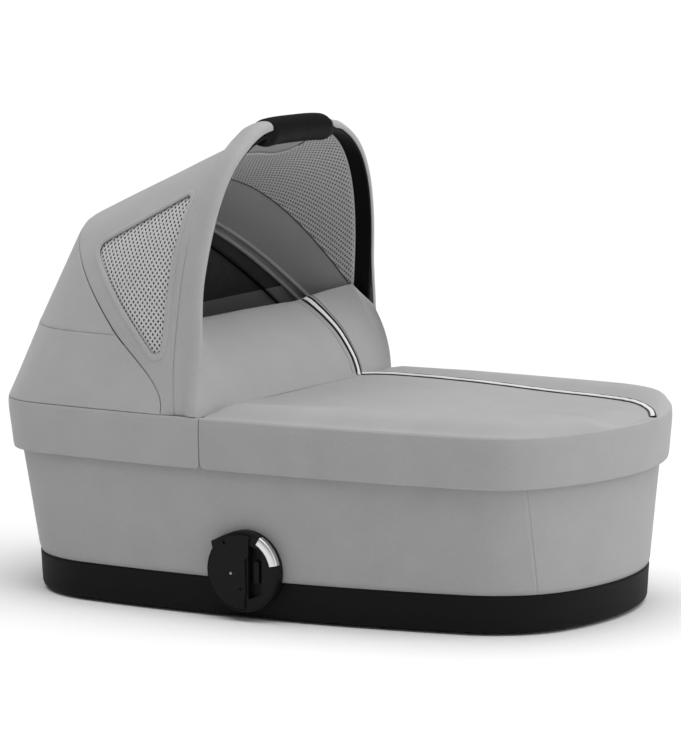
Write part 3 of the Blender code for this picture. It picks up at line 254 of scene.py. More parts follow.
def gridFaces(rows, wide, closed, start=0):
    faces = []
    for first in range(start, start + (rows - 1) * wide, wide):
        for i in range(wide if closed else wide - 1):
            j = (i + 1) % wide
            faces.append((first + i, first + j, first + wide + j, first + wide + i))
    return faces


def rowsPiece(name, rows, *finishes, closed=False, capFirst=False, caps=False):
    wide = len(rows[0])
    points = [p for row in rows for p in row]
    faces = gridFaces(len(rows), wide, closed)
    if capFirst or caps:
        faces.append(tuple(reversed(range(wide))))
    if caps:
        faces.append(tuple(range(len(points) - wide, len(points))))
    return pieceFrom(name, points, faces, *finishes)


def solidPiece(name, rings, finish):
    # rings of points, capped at both ends
    return outward(rowsPiece(name, rings, finish, closed=True, caps=True))


def settle(piece):
    # the modifiers' result becomes the mesh
    ready = piece.evaluated_get(bpy.context.evaluated_depsgraph_get())
    shape = bpy.data.meshes.new_from_object(ready)
    piece.modifiers.clear()
    old = piece.data
    piece.data = shape
    bpy.data.meshes.remove(old)
    return piece


def thicken(piece, thick):
    solid = piece.modifiers.new("thickness", "SOLIDIFY")
    solid.thickness = thick
    solid.offset = -1.0
    solid.use_even_offset = True
    return settle(piece)


def soften(piece, width, segments=2, angle=40.0):
    edge = piece.modifiers.new("edges", "BEVEL")
    edge.width = width
    edge.segments = segments
    edge.limit_method = "ANGLE"
    edge.angle_limit = radians(angle)
    return settle(piece)


def rounding(piece):
    fine = piece.modifiers.new("rounding", "SUBSURF")
    fine.levels = fine.render_levels = 1
    return settle(piece)


def crisp(piece, angle=40.0):
    piece.data.set_sharp_from_angle(angle=radians(angle))
    return piece


@contextmanager
def edited(piece):
    # the piece's mesh, open for changes
    bm = bmesh.new()
    bm.from_mesh(piece.data)
    yield bm
    bm.to_mesh(piece.data)
    bm.free()


def outward(piece):
    # every face of a closed form looks out
    with edited(piece) as bm:
        bmesh.ops.recalc_face_normals(bm, faces=bm.faces)
    return piece


def faceAway(piece, centre):
    # every face of a sheet looks away from a middle point, whichever way it was made
    with edited(piece) as bm:
        bmesh.ops.recalc_face_normals(bm, faces=bm.faces)
        total = sum(f.normal.dot(f.calc_center_median() - Vector(centre)) for f in bm.faces)
        if total < 0:
            bmesh.ops.reverse_faces(bm, faces=bm.faces)


def surfaceOf(piece):
    bm = bmesh.new()
    bm.from_mesh(piece.data)
    tree = BVHTree.FromBMesh(bm)
    bm.free()
    return tree


def clothLayer(piece, centre, thick, node=None, body=None, edge=None):
    # a sheet gets its thickness and rounded edges, and says what it stands for
    faceAway(piece, centre)
    thicken(piece, thick)
    if edge:
        soften(piece, *edge)
    return give(piece, body, node)


def resampled(points, count):
    steps = [0.0]
    for a, b in zip(points, points[1:]):
        steps.append(steps[-1] + (b - a).length)
    out, k = [], 0
    for n in range(count):
        target = steps[-1] * n / (count - 1)
        while k < len(points) - 2 and steps[k + 1] < target:
            k += 1
        span = steps[k + 1] - steps[k] or 1.0
        out.append(points[k].lerp(points[k + 1], (target - steps[k]) / span))
    return out


def curved(points, count):
    # evenly spaced points on a smooth curve through a few given ones
    fine = []
    for k in range(len(points) - 1):
        p0, p1 = points[max(k - 1, 0)], points[k]
        p2, p3 = points[k + 1], points[min(k + 2, len(points) - 1)]
        for s in range(12):
            t = s / 12
            fine.append(0.5 * (2 * p1 + (p2 - p0) * t + (2 * p0 - 5 * p1 + 4 * p2 - p3) * t * t
                               + (3 * p1 - 3 * p2 + p3 - p0) * t ** 3))
    fine.append(points[-1])
    return resampled(fine, count)


def cordPiece(name, path, radius, finish, sides=8, closed=False, flat=1.0, ups=None):
    # a round or flattened bead along a path, closed at its ends
    rows = []
    count = len(path)
    taper = 0.35
    for k, p in enumerate(path):
        before = path[k - 1] if closed or k else p
        after = path[(k + 1) % count] if closed or k < count - 1 else p
        along = (after - before).normalized()
        side = along.cross(Vector(ups[k]) if ups else Vector((0, 0, 1)))
        if side.length < 1e-4:
            side = along.cross(Vector((1, 0, 0)))
        side.normalize()
        up = side.cross(along).normalized()
        end = 1.0 if closed else min(1.0, taper + min(k, count - 1 - k) * taper)
        rows.append([p + (side * cos(a) + up * sin(a) * flat) * radius * end
                     for a in (2 * pi * i / sides for i in range(sides))])
    if not closed:
        return solidPiece(name, rows, finish)
    made = rowsPiece(name, rows + rows[:1], finish, closed=True)
    with edited(made) as bm:
        bmesh.ops.remove_doubles(bm, verts=bm.verts, dist=1e-6)
    return outward(made)


def joined(name, *pieces):
    # several meshes as one object
    bm = bmesh.new()
    finishes = []
    for piece in pieces:
        start = len(bm.faces)
        slots = []
        for finish in piece.data.materials:
            if finish not in finishes:
                finishes.append(finish)
            slots.append(finishes.index(finish))
        bm.from_mesh(piece.data)
        bm.faces.ensure_lookup_table()
        for face in bm.faces[start:]:
            face.material_index = slots[face.material_index]
    for piece in pieces:
        bpy.data.objects.remove(piece, do_unlink=True)
    return formPiece(name, bm, *finishes)


def stitches(name, path, normals, finish, pitch=0.0036, length=0.0024, radius=0.00035, sides=5):
    # short raised threads along a path
    total = sum((b - a).length for a, b in zip(path, path[1:]))
    count = max(int(total / pitch), 2)
    spots = resampled(path, count + 1)
    points, faces = [], []
    for k, (a, b) in enumerate(zip(spots, spots[1:])):
        along = (b - a).normalized()
        up = Vector(normals[min(int(k / count * len(normals)), len(normals) - 1)])
        side = along.cross(up).normalized()
        start = len(points)
        for share, size in ((-0.5, 0.5), (-0.25, 1.0), (0.25, 1.0), (0.5, 0.5)):
            for turn in (2 * pi * i / sides for i in range(sides)):
                points.append((a + b) / 2 + along * length * share
                              + (side * cos(turn) + up * sin(turn)) * radius * size)
        faces += gridFaces(4, sides, True, start)
        faces.append(tuple(start + i for i in reversed(range(sides))))
        faces.append(tuple(start + 3 * sides + i for i in range(sides)))
    return pieceFrom(name, points, faces, finish)


def ripple(p, scale, seed=0.0):
    return noise.noise(Vector((p[0] * scale + seed, p[1] * scale, p[2] * scale)))


# plan outlines of the rim and the tray, as in the part

plan = {"rimLength": 0.830, "rimWidth": 0.470, "rimCorners": (0.103, 0.091),
        "rimTurns": (28.7, 83.0, 97.9, 143.1), "rimTop": 0.2337,
        "trayLength": 0.760, "trayWidth": 0.453, "trayMiddle": 0.008,
        "trayCorners": (0.130, 0.135), "trayTurns": (19.0, 77.3, 96.7, 143.4),
        "trayTop": 0.047, "wallTop": 0.2283, "wallInset": 0.010,
        "bandBottom": 0.1737, "fold": -0.0525, "split": 0.0012}


class PlanOutline:
    # half of an egg-shaped plan as five arcs, from the foot's tip round to the head's
    def __init__(self, length, width, middle, corners, turns):
        self.turns = [0.0] + [radians(t) for t in turns] + [pi]
        a = self.turns
        footCorner, headCorner = corners
        run = [cos(a[k + 1]) - cos(a[k]) for k in range(5)]
        rise = [sin(a[k + 1]) - sin(a[k]) for k in range(5)]
        system = np.array([[run[0], run[2], run[4]], [rise[0], rise[2], rise[4]],
                           [rise[0], 1 - sin(a[2]), 0.0]])
        wanted = np.array([-length - footCorner * run[1] - headCorner * run[3],
                           -footCorner * rise[1] - headCorner * rise[3],
                           width / 2 - footCorner * rise[1]])
        footEnd, side, headEnd = np.linalg.solve(system, wanted)
        self.radii = [footEnd, footCorner, side, headCorner, headEnd]
        self.tip = middle + length / 2

    def at(self, station, inset=0.0):
        arc = min(int(station), 4)
        x, y = self.tip, 0.0
        for k in range(arc):
            x += self.radii[k] * (cos(self.turns[k + 1]) - cos(self.turns[k]))
            y += self.radii[k] * (sin(self.turns[k + 1]) - sin(self.turns[k]))
        start = self.turns[arc]
        angle = start + (station - arc) * (self.turns[arc + 1] - start)
        x += self.radii[arc] * (cos(angle) - cos(start))
        y += self.radii[arc] * (sin(angle) - sin(start))
        normal = Vector((cos(angle), sin(angle)))
        return Vector((x, y)) - normal * inset, normal

    def stationAt(self, x, inset=0.0):
        low, high = 0.0, 5.0
        for _ in range(40):
            middle = (low + high) / 2
            if self.at(middle, inset)[0].x > x:
                low = middle
            else:
                high = middle
        return (low + high) / 2

    def halfWidth(self, x, inset=0.0):
        return self.at(self.stationAt(x, inset), inset)[0].y


sides = ((1, "Left"), (-1, "Right"))
rim = PlanOutline(plan["rimLength"], plan["rimWidth"], 0.0, plan["rimCorners"], plan["rimTurns"])
tray = PlanOutline(plan["trayLength"], plan["trayWidth"], plan["trayMiddle"], plan["trayCorners"],
                   plan["trayTurns"])


def stations(low=0.0, high=5.0, extra=()):
    grid = [arc + s / n for arc, n in enumerate((12, 18, 44, 18, 14)) for s in range(n)]
    return sorted({low, high, *(s for s in grid if low + 0.012 < s < high - 0.012), *extra})


def mirrored(half, first=1):
    return half + [Vector((p.x, -p.y, p.z)) for p in reversed(half[first:-1])]


def wallPoint(station, z, inset=0.0):
    t = (z - plan["trayTop"]) / (plan["wallTop"] - plan["trayTop"])
    low, lowNormal = tray.at(station)
    high, highNormal = rim.at(station, plan["wallInset"])
    normal = (lowNormal * (1 - t) + highNormal * t).normalized()
    p = low * (1 - t) + high * t - normal * inset
    return Vector((p.x, p.y, z))


def bandPoint(station, z, inset=0.0):
    share = max(0.0, (plan["rimTop"] - z) / (plan["rimTop"] - plan["bandBottom"]))
    normal = rim.at(station)[1]
    draft = 0.003 + 0.003 * normal.x ** 2 + 0.005 * max(0.0, -normal.x) ** 2
    p = rim.at(station, draft * share + inset)[0]
    return Vector((p.x, p.y, z))


def dressNode(finish, *names, pairs=()):
    for name in (*names, *(stem + end for stem in pairs for end in ("_left", "_right"))):
        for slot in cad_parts[name].material_slots:
            slot.link = "OBJECT"
            slot.material = finish


def give(piece, body=None, node=None):
    if node:
        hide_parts(node)
    if body:
        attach(piece, body)
    return piece


# base: tray, wall cover, inside

base = {"trayBottom": 0.003, "trayWall": 0.003, "chine": 0.006, "draft": 0.002}


def makeTray():
    b, top = base, plan["trayTop"]
    profile = [(b["trayBottom"], b["chine"] + b["draft"] + 0.004),
               (b["trayBottom"], b["chine"] + b["draft"]),
               (b["trayBottom"] + 0.0006, b["chine"] * 0.6 + b["draft"]),
               (b["trayBottom"] + 0.0022, b["chine"] * 0.22 + b["draft"]),
               (b["trayBottom"] + b["chine"], b["draft"]),
               (0.020, 0.0013), (0.036, 0.0005), (top - 0.0026, 0.0), (top - 0.0020, 0.0007),
               (top - 0.0010, 0.0007), (top - 0.0003, 0.0003), (top, 0.0009)]
    rows = [mirrored([Vector((*tray.at(s, inset)[0], z)) for s in stations()])
            for z, inset in profile]
    made = rowsPiece("baseTray", rows, trayBlack, closed=True, capFirst=True)
    faceAway(made, (0, 0, 0.03))
    thicken(made, b["trayWall"] - 0.0006)
    give(crisp(made, 50), "cot", "base_tray")


cover = {"thick": 0.0024, "gap": 0.0004, "rows": 30, "ripple": 0.0004, "tuck": 0.0012,
         "seamX": 0.3459, "groove": 0.0011, "deep": 0.0008, "puff": 0.0005,
         "stitchOff": 0.0030, "stitchUp": 0.0009, "stitchRows": 24}


def makeSideCover():
    c = cover
    low, high = plan["trayTop"] + c["gap"], plan["wallTop"]
    tries = (1.0 + k / 200 for k in range(201))
    seam = next(s for s in tries if wallPoint(s, 0.12).x < c["seamX"])
    near = [seam + d for d in (-0.02, -0.012, -0.006, -0.003, 0.0, 0.003, 0.006, 0.012, 0.02)]
    across = stations(extra=near)
    rows = []
    for r in range(c["rows"] + 1):
        z = mix(low, high, r / c["rows"])
        half = []
        for s in across:
            p = wallPoint(s, z)
            away = (p - wallPoint(seam, z)).length
            slack = c["ripple"] * ripple(p, 9.0) * smooth(z, low, low + 0.03)
            tuck = c["tuck"] * hump(z, low, 0.002)
            pinch = c["deep"] * hump(away, 0.0, c["groove"])
            puff = c["puff"] * hump(away, 0.0, 0.008)
            half.append(wallPoint(s, z, tuck + pinch - puff - slack - c["gap"]))
        rows.append(mirrored(half))
    # the side cover takes the darkened cloth: painted shade on the sides
    clothLayer(rowsPiece("sideCover", rows, sideShadeCloth, closed=True), (0, 0, 0.12), c["thick"],
               "side_cover", "cot")
    lines = []
    for side, shift in ((1, -1), (1, 1), (-1, -1), (-1, 1)):
        path, ups = [], []
        for r in range(c["stitchRows"]):
            z = mix(low + 0.003, plan["bandBottom"] + 0.01, r / (c["stitchRows"] - 1))
            p, q = (wallPoint(s, z, -c["stitchUp"]) for s in (seam, seam + 0.01))
            along = (q - p).normalized()
            p = p + along * (shift * c["stitchOff"])
            up = along.cross(Vector((0, 0, 1)))
            if up.dot(p) < 0:
                up = -up
            path.append(Vector((p.x, p.y * side, p.z)))
            ups.append((up.x, up.y * side, up.z))
        lines.append(stitches("coverStitch", path, ups, thread))
    give(joined("coverStitches", *lines), "cot")


# the layers are cover, its gap, tub and its gap; in the tray the first two are left out
inside = {"lowest": 0.020, "thick": 0.0011, "layers": (0.0026, 0.0005, 0.0024, 0.0003),
          "coverLayers": 0.0031, "trayInset": 0.0055, "rows": 22, "slack": 0.0010}


def makeInside():
    tub, foot = sum(inside["layers"]), plan["trayTop"]
    rows = []
    for z in [inside["lowest"]] + [mix(foot, plan["wallTop"], k / inside["rows"])
                                   for k in range(inside["rows"] + 1)]:
        half = []
        for s in stations():
            if z < foot:
                inset = inside["trayInset"] + tub - inside["coverLayers"]
                half.append(Vector((*tray.at(s, inset)[0], z)))
            else:
                slack = inside["slack"] * (0.5 + 0.5 * ripple(wallPoint(s, z), 16.0, 3.0))
                slack *= smooth(z, foot, 0.09) * (1 - smooth(z, 0.19, 0.205))
                half.append(wallPoint(s, z, tub + slack))
        rows.append(mirrored(half))
    clothLayer(rowsPiece("innerLining", rows, innerCloth, closed=True), (0, 0, 0.12),
               inside["thick"], "inner_lining", "cot")


# edge holds height and inset, from the underside up
mattress = {"bottom": 0.01304, "inset": 0.009, "gap": 0.002, "lining": 0.0072, "drawn": 0.006,
            "edge": ((0.0, 0.012), (0.004, 0.004), (0.012, 0.0), (0.030, 0.0), (0.040, 0.004),
                     (0.043, 0.012), (0.045, 0.030), (0.0465, 0.08), (0.0475, 0.13)),
            "channels": 5, "pitch": 0.115, "wide": 0.008, "deep": 0.005, "voxel": 0.006,
            "pressure": 4.0, "frames": 15, "cap": 0.003}


def makeMattress():
    m = mattress
    inset = (inside["trayInset"] + m["lining"] - inside["coverLayers"]) + m["inset"] + m["gap"]
    tip, head = tray.at(0.0, inset)[0].x, tray.at(5.0, inset)[0].x
    middle, half = (tip + head) / 2, (tip - head) / 2
    rows = []
    for z, pull in m["edge"]:
        ring = []
        for s in stations():
            p = tray.at(s, inset + pull)[0]
            drawn = m["drawn"] * (1 - smooth(abs(p.x - middle) / half, 0.0, 0.85))
            ring.append(Vector((p.x, p.y - min(drawn, p.y) if p.y > 0 else p.y, m["bottom"] + z)))
        rows.append(mirrored(ring))
    made = solidPiece("mattressPad", rows, ticking)
    remesh = made.modifiers.new("remesh", "REMESH")
    remesh.mode = "VOXEL"
    remesh.voxel_size = m["voxel"]
    settle(made)
    start = [v.co.copy() for v in made.data.vertices]
    cloth = made.modifiers.new("cloth", "CLOTH")
    cloth.settings.use_pressure = True
    cloth.settings.uniform_pressure_force = m["pressure"]
    cloth.settings.effector_weights.gravity = 0.0
    cloth.settings.quality = 4
    for n in range(m["frames"]):
        scene.frame_set(n + 1)
    shape = made.evaluated_get(bpy.context.evaluated_depsgraph_get()).data
    moved = [v.co.copy() for v in shape.vertices]
    made.modifiers.clear()
    scene.frame_set(1)
    for v, a, b in zip(made.data.vertices, start, moved):
        step = b - a
        if step.length > m["cap"]:
            step *= m["cap"] / step.length
        v.co = a + step
    channels = [middle + (k - (m["channels"] - 1) / 2) * m["pitch"] for k in range(m["channels"])]
    for v in made.data.vertices:
        top = smooth(v.co.z, m["bottom"] + 0.025, m["bottom"] + 0.043)
        groove = max(hump(v.co.x, c, m["wide"] * 0.8) for c in channels)
        v.co.z -= m["deep"] * groove * top * (1 - smooth(abs(v.co.y), 0.15, 0.2))
        v.co.z = max(v.co.z, m["bottom"])
    rounding(made)
    made.data.shade_smooth()
    give(made, "cot", "mattress")


# rim band and apron

# up holds height above the hem and inset, down holds depth below the rim's top and inset
band = {"thick": 0.0022, "edge": 0.0006, "lap": 0.014, "notch": 0.0075,
        "up": ((0.0, 0.0022), (0.0003, 0.0010), (0.0010, 0.0003), (0.0022, 0.0),
               (0.006, -0.0002), (0.014, -0.0002), (0.024, 0.0)),
        "down": ((0.026, 0.0), (0.018, 0.0002), (0.012, 0.0004), (0.008, 0.0008),
                 (0.0050, 0.0013), (0.0028, 0.0017), (0.0012, 0.0022), (0.0002, 0.0032)),
        "near": (0.0005, 0.0012, 0.0022, 0.0036, 0.005)}


def sideRows(across, seam):
    # rows of the band or skirt from the hem up, with the hem's corner rounded off at the seam
    low, top = plan["bandBottom"], plan["rimTop"]
    rows = [[bandPoint(s, max(low + up, low + cornerLift(s, seam) + up * 0.5), inset)
             for s in across] for up, inset in band["up"]]
    return rows + [[bandPoint(s, top - down, inset) for s in across]
                   for down, inset in band["down"]]


def cornerLift(station, seam):
    radius = band["notch"]
    d = abs(rim.at(station)[0].x - seam)
    return radius - (radius ** 2 - (radius - d) ** 2) ** 0.5 if d < radius else 0.0


def makeRimBand():
    edge = plan["fold"] - plan["split"] / 2
    first = rim.stationAt(edge)
    extra = [rim.stationAt(edge - d) for d in band["near"]]
    across = stations(first, 5.0, extra)
    rows = sideRows(across, edge)
    top = plan["rimTop"]
    for inset, drop in ((0.0045, 0.0), (0.008, 0.0001), (0.011, 0.0001), (band["lap"], 0.0001)):
        rows.append([bandPoint(s, top - drop, inset) for s in across])
    # the band takes the darkened cloth: painted shade on the band
    made = rowsPiece("rimBand", [mirrored(row, 0) for row in rows], bandShadeCloth)
    clothLayer(made, (0, 0, 0.20), band["thick"], "rim_band", "cot", edge=(band["edge"],))


apron = {"thick": 0.0022, "crown": 0.009, "run": 0.060, "lanes": 40, "border": 0.0108,
         "borderRun": 0.036}
stripe = {"onApron": ((-0.0450, 0.1500), (-0.0300, 0.1610), (0.0006, 0.1667), (0.0623, 0.1590),
                      (0.1550, 0.1440), (0.2489, 0.1170), (0.3135, 0.0990), (0.3620, 0.0790),
                      (0.3900, 0.0600), (0.4060, 0.0340)),
          "half": 0.0032, "edge": 0.0026, "rise": 0.0014,
          "flapY": ((0.0, 0.1420), (0.08, 0.1452), (0.17, 0.1471), (0.5, 0.1475), (0.65, 0.1463),
                    (1.0, 0.1457))}
stripePath = curved([Vector((x, y, 0.0)) for x, y in stripe["onApron"]], 90)
stripeX = np.array([p.x for p in stripePath])
stripeY = np.array([p.y for p in stripePath])


def pastStripe(x, y):
    # how far a place lies beyond the stripe, towards the far edge and the foot
    if y < 0.0:
        return 0.0
    k = int(np.argmin((stripeX - x) ** 2 + (stripeY - y) ** 2))
    a, b = max(k - 1, 0), min(k + 1, len(stripeX) - 1)
    along = (stripeX[b] - stripeX[a], stripeY[b] - stripeY[a])
    off = (x - stripeX[k], y - stripeY[k])
    cross = along[0] * off[1] - along[1] * off[0]
    return hypot(*off) if cross > 0 else 0.0


def apronHeight(x, y):
    side = max(rim.halfWidth(x) - abs(y), 0.0)
    foot = max(rim.tip - x, 0.0) * 1.2
    near = side * foot / hypot(side, foot) if side or foot else 0.0
    rise = apron["crown"] * smooth(near, 0.0, apron["run"])
    lip = 0.0012 * hump(near, 0.0030, 0.0018) - 0.0010 * hump(near, 0.011, 0.006)
    slack = 0.0012 * ripple((x, y, 0.0), 7.0) * smooth(near, 0.02, 0.08)
    border = apron["border"] * smooth(pastStripe(x, y), 0.0, apron["borderRun"])
    border *= smooth(near, 0.0, 0.030) * smooth(x, -0.046, -0.018) * smooth(y, 0.0, 0.045)
    return plan["rimTop"] + rise + lip + slack + border


def makeApron():
    edge = plan["fold"] + plan["split"] / 2
    last = rim.stationAt(edge)
    extra = [rim.stationAt(edge + d) for d in band["near"]]
    across = stations(0.0, last, extra)
    rows = sideRows(across, edge)
    for inset in (0.0042, 0.0055, 0.0075, 0.010, 0.013, 0.017, 0.022, 0.028, 0.035, 0.043, 0.052,
                  0.062, 0.070):
        row = [bandPoint(s, plan["rimTop"], inset) for s in across]
        row[-1].x = rows[0][-1].x
        for p in row:
            p.z = apronHeight(p.x, p.y)
        rows.append(row)
    full = [mirrored(row[::-1], 0) for row in rows]
    wide = len(full[0])
    points = [p for row in full for p in row]
    faces = gridFaces(len(full), wide, False)
    start = (len(full) - 1) * wide
    half = wide // 2
    lanes = []
    for k in range(half):
        farPoint = points[start + k]
        lane = [start + k]
        for n in range(1, apron["lanes"]):
            y = farPoint.y * (1 - 2 * n / apron["lanes"])
            lane.append(len(points))
            points.append(Vector((farPoint.x, y, apronHeight(farPoint.x, y))))
        lane.append(start + wide - 1 - k)
        lanes.append(lane)
    for a, b in zip(lanes, lanes[1:]):
        for i in range(apron["lanes"]):
            faces.append((a[i], a[i + 1], b[i + 1], b[i]))
    tip = start + half
    for i in range(apron["lanes"]):
        faces.append((lanes[-1][i], lanes[-1][i + 1], tip))
    made = pieceFrom("apronCover", points, faces, paleCloth, sideShadeCloth)
    # faces below the rim's top are the skirt and take the darkened side cloth: painted shade on
    # the apron's sides
    for face in made.data.polygons:
        if face.center.z < plan["rimTop"] - 0.0008:
            face.material_index = 1
    return clothLayer(made, (0.15, 0, 0.20), apron["thick"], "apron", "apron",
                      edge=(band["edge"],))


flap = {"foot": -0.0453, "lift": -0.0005, "foldHalf": 0.226, "near": (0.80, 0.024, 0.2300),
        "topHalf": 0.203, "topZ": 0.332, "sideX": -0.058, "middleX": -0.140, "ear": 0.0188,
        "belly": (-0.076, -0.036, 0.214), "bellyZ": (0.312, 0.283), "thick": 0.0018,
        "tuckX": -0.0665, "tuckHalf": 0.2065}


def flapPoint(share, up):
    f = flap
    a = abs(share)
    turn, back, nearHalf = f["near"]
    back *= (max(0.0, -share - turn) / (1 - turn)) ** 2
    foldY = share * (f["foldHalf"] if share > 0 else nearHalf)
    side = max(rim.halfWidth(f["foot"]) - abs(foldY), 0.0)
    foldZ = plan["rimTop"] + apron["crown"] * smooth(side, 0.0, apron["run"]) + f["lift"]
    fold = Vector((f["foot"] - back * 0.5, foldY, foldZ))
    ear = unit((a - 0.64) / 0.295) ** 1.3 - max(0.0, a - 0.938) / 0.062 * 1.30
    top = Vector((f["middleX"] + (f["sideX"] - f["middleX"]) * a ** 5 - back * 0.5,
                  share * f["topHalf"], f["topZ"] + f["ear"] * ear))
    middle, side, half = f["belly"]
    half += 0.0045 * (max(0.0, -share - turn) / (1 - turn)) ** 2
    belly = Vector((middle + (side - middle) * a ** 5 - back, share * half,
                    f["bellyZ"][0] + (f["bellyZ"][1] - f["bellyZ"][0]) * a ** 4))
    return fold * (1 - up) ** 2 + belly * (2 * up * (1 - up)) + top * up ** 2


def makeFlap():
    f = flap
    shares = sorted([sin(pi / 2 * k / 44) for k in range(-44, 45)] + [0.938, 0.934, 0.942])
    tucks = (0.12, 0.3, 0.5, 0.75, 1.0)
    ups = [0.0, 0.012, 0.03, 0.06] + [k / 30 for k in range(3, 30)] + [0.985, 1.0]
    rows = []
    for up in ups:
        row = []
        for s in shares:
            p = flapPoint(s, up)
            a, b = flapPoint(min(s + 0.01, 1.0), up), flapPoint(max(s - 0.01, -1.0), up)
            c, d = flapPoint(s, min(up + 0.01, 1.0)), flapPoint(s, max(up - 0.01, 0.0))
            normal = (a - b).cross(c - d).normalized()
            if normal.x < 0:
                normal = -normal
            slack = 0.0008 * ripple(p, 11.0, 5.0) * smooth(up, 0.0, 0.2)
            slack *= smooth(1 - abs(s), 0.0, 0.1)
            roll = 0.0012 * smooth(up, 0.94, 1.0)
            row.append(p + normal * (0.0012 + slack - roll))
        end = row[-1]
        flare = unit((0.325 - end.z) / 0.090) ** 1.8
        tuck = Vector((f["tuckX"], mix(f["tuckHalf"], abs(end.y), flare), end.z - 0.001))
        bend = end + Vector((-0.004, 0.0022, 0.0))
        rows.append(row + [end * (1 - t) ** 2 + bend * 2 * t * (1 - t) + tuck * t * t
                           for t in tucks])
    return clothLayer(rowsPiece("windFlap", rows, paleCloth), (-0.25, 0, 0.25), f["thick"],
                      "wind_flap", "wind_flap", edge=(0.0007, 3))


def ribbonPiece(name, path, ups, half, edge, rise, tilt):
    # a woven tape with a black line at each edge
    profile = [(-half - edge, -0.0008), (-half - edge, rise * 0.6), (-half - edge * 0.7, rise),
               (-half, rise), (-half + 0.0003, rise * 1.25), (half - 0.0003, rise * 1.25),
               (half, rise), (half + edge * 0.7, rise), (half + edge, rise * 0.6),
               (half + edge, -0.0008)]
    points = []
    count = len(profile)
    for k, p in enumerate(path):
        before, after = path[max(k - 1, 0)], path[min(k + 1, len(path) - 1)]
        along = (after - before).normalized()
        side = along.cross(ups[k]).normalized()
        for across, high in profile:
            points.append(p + side * across + ups[k] * (high + tilt * max(0.0, -across + half)))
    faces = gridFaces(len(path), count, True)
    marks = [0 if k % count in (3, 4, 5) else 1 for k in range(len(faces))] + [1, 1]
    faces.append(tuple(range(count)))
    faces.append(tuple(reversed(range(len(points) - count, len(points)))))
    made = pieceFrom(name, points, faces, whiteTape, blackTape)
    for polygon, mark in zip(made.data.polygons, marks):
        polygon.material_index = mark
    outward(made)
    return crisp(made, 50)


def dropOn(surface, spots, start, way):
    # where lines from given points meet a surface
    path, ups = [], []
    for p in spots:
        place, normal = surface.ray_cast(p + start, way)[:2]
        if place is None:
            continue
        if normal.dot(way) > 0:
            normal = -normal
        path.append(place)
        ups.append(normal)
    return path, ups


def evened(ups, passes=3):
    for _ in range(passes):
        ups = [(ups[max(k - 1, 0)] + ups[k] * 2 + ups[min(k + 1, len(ups) - 1)]).normalized()
               for k in range(len(ups))]
    return ups


def besideCords(name, surface, path, ups, shifts, radius, finish, flat=0.8, lifts=(0.0, 0.0)):
    cords = []
    for shift, lift in zip(shifts, lifts):
        line = []
        for k, p in enumerate(path):
            run = path[min(k + 1, len(path) - 1)] - path[max(k - 1, 0)]
            aside = run.cross(ups[k]).normalized() * shift
            place = surface.find_nearest(p + aside + ups[k] * 0.003)[0]
            line.append(place + ups[k] * (radius * flat * 0.4 + lift))
        cords.append(cordPiece(name, line, radius, finish, 8, flat=flat, ups=ups))
    return joined(name, *cords)


def makeStripes(apronPiece, flapPiece):
    s = stripe
    path, ups = dropOn(surfaceOf(apronPiece), stripePath, Vector((0, 0, 0.4)), Vector((0, 0, -1)))
    made = ribbonPiece("apronStripe", path, evened(ups), s["half"] * 0.75, s["edge"] * 0.8,
                       s["rise"], 0.20)
    give(made, "apron")
    lines = besideCords("apronLines", surfaceOf(apronPiece), path, evened(ups),
                        (-0.0036, 0.0033), 0.0010, blackTape, lifts=(0.0014, 0.0002))
    give(lines, "apron")
    spots = []
    heights, wanted = zip(*s["flapY"])
    for k in range(60):
        up = 0.004 + 0.994 * k / 59
        share = 0.66
        for _ in range(12):
            share += (float(np.interp(up, heights, wanted)) - flapPoint(share, up).y) / 0.21
        across = flapPoint(share + 0.01, up) - flapPoint(share - 0.01, up)
        along = flapPoint(share, min(up + 0.01, 1.0)) - flapPoint(share, max(up - 0.01, 0.0))
        out = across.cross(along).normalized()
        spots.append(flapPoint(share, up) + (out if out.x > 0 else -out) * 0.004)
    path, ups = [], []
    surface = surfaceOf(flapPiece)
    for p in spots:
        path.append(surface.find_nearest(p)[0])
        ups.append((p - path[-1]).normalized())
    ups = evened(ups)
    made = ribbonPiece("flapStripe", path, ups, s["half"], s["edge"], s["rise"] * 0.6, 0.0)
    tucks = besideCords("flapTucks", surface, path, ups, (-0.0135, 0.0110), 0.0014, paleCloth,
                        0.45)
    give(tucks, "wind_flap")
    lines = besideCords("flapLines", surface, path, ups, (-0.0047, 0.0047), 0.0015, blackTape,
                        lifts=(0.0004, 0.0004))
    give(lines, "wind_flap")
    give(made, "wind_flap")


# hood

hood = {"pivot": Vector((-0.0905, 0.0, 0.225)), "frontLean": 5.6, "rearLean": -44.8,
        "front": (0.208, 0.334, 3.4), "rear": (0.2035, 0.3093, 2.4), "bowDeep": 0.027,
        "bowThick": 0.0036, "frontSkin": 0.0066, "rearSkin": 0.0072, "flareZ": 0.325,
        "lift": 0.0007, "rimInset": 0.003, "frontFoot": -0.060, "backFoot": -0.086,
        "footRun": (0.0175, 0.031), "seamFoot": -0.107, "sag": -0.0015, "seamZ": 0.3207,
        "count": 161, "cloth": 0.0016}
footZ = plan["rimTop"] + hood["lift"]


# a bow's half width, reach from the pivot and squareness give its outline
def superellipse(half, reach, squareness, samples=400):
    points = []
    for k in range(samples + 1):
        a = pi * k / samples
        across = -half * (1 if cos(a) > 0 else -1) * abs(cos(a)) ** (2 / squareness)
        points.append(Vector((across, reach * max(sin(a), 0.0) ** (2 / squareness))))
    return points


def hoopAxes(lean):
    return (Vector((sin(radians(lean)), 0.0, cos(radians(lean)))),
            Vector((cos(radians(lean)), 0.0, -sin(radians(lean)))))


def bowHoop(bow, out, inset, offset):
    # a bow's outline, let out and drawn in, set up at its lean
    half, reach, squareness = hood[bow]
    up, ahead = hoopAxes(hood[bow + "Lean"])
    return [hood["pivot"] + up * p.y + Vector((0, p.x, 0)) + ahead * offset
            for p in superellipse(half + out - inset, reach + out - inset, squareness)]


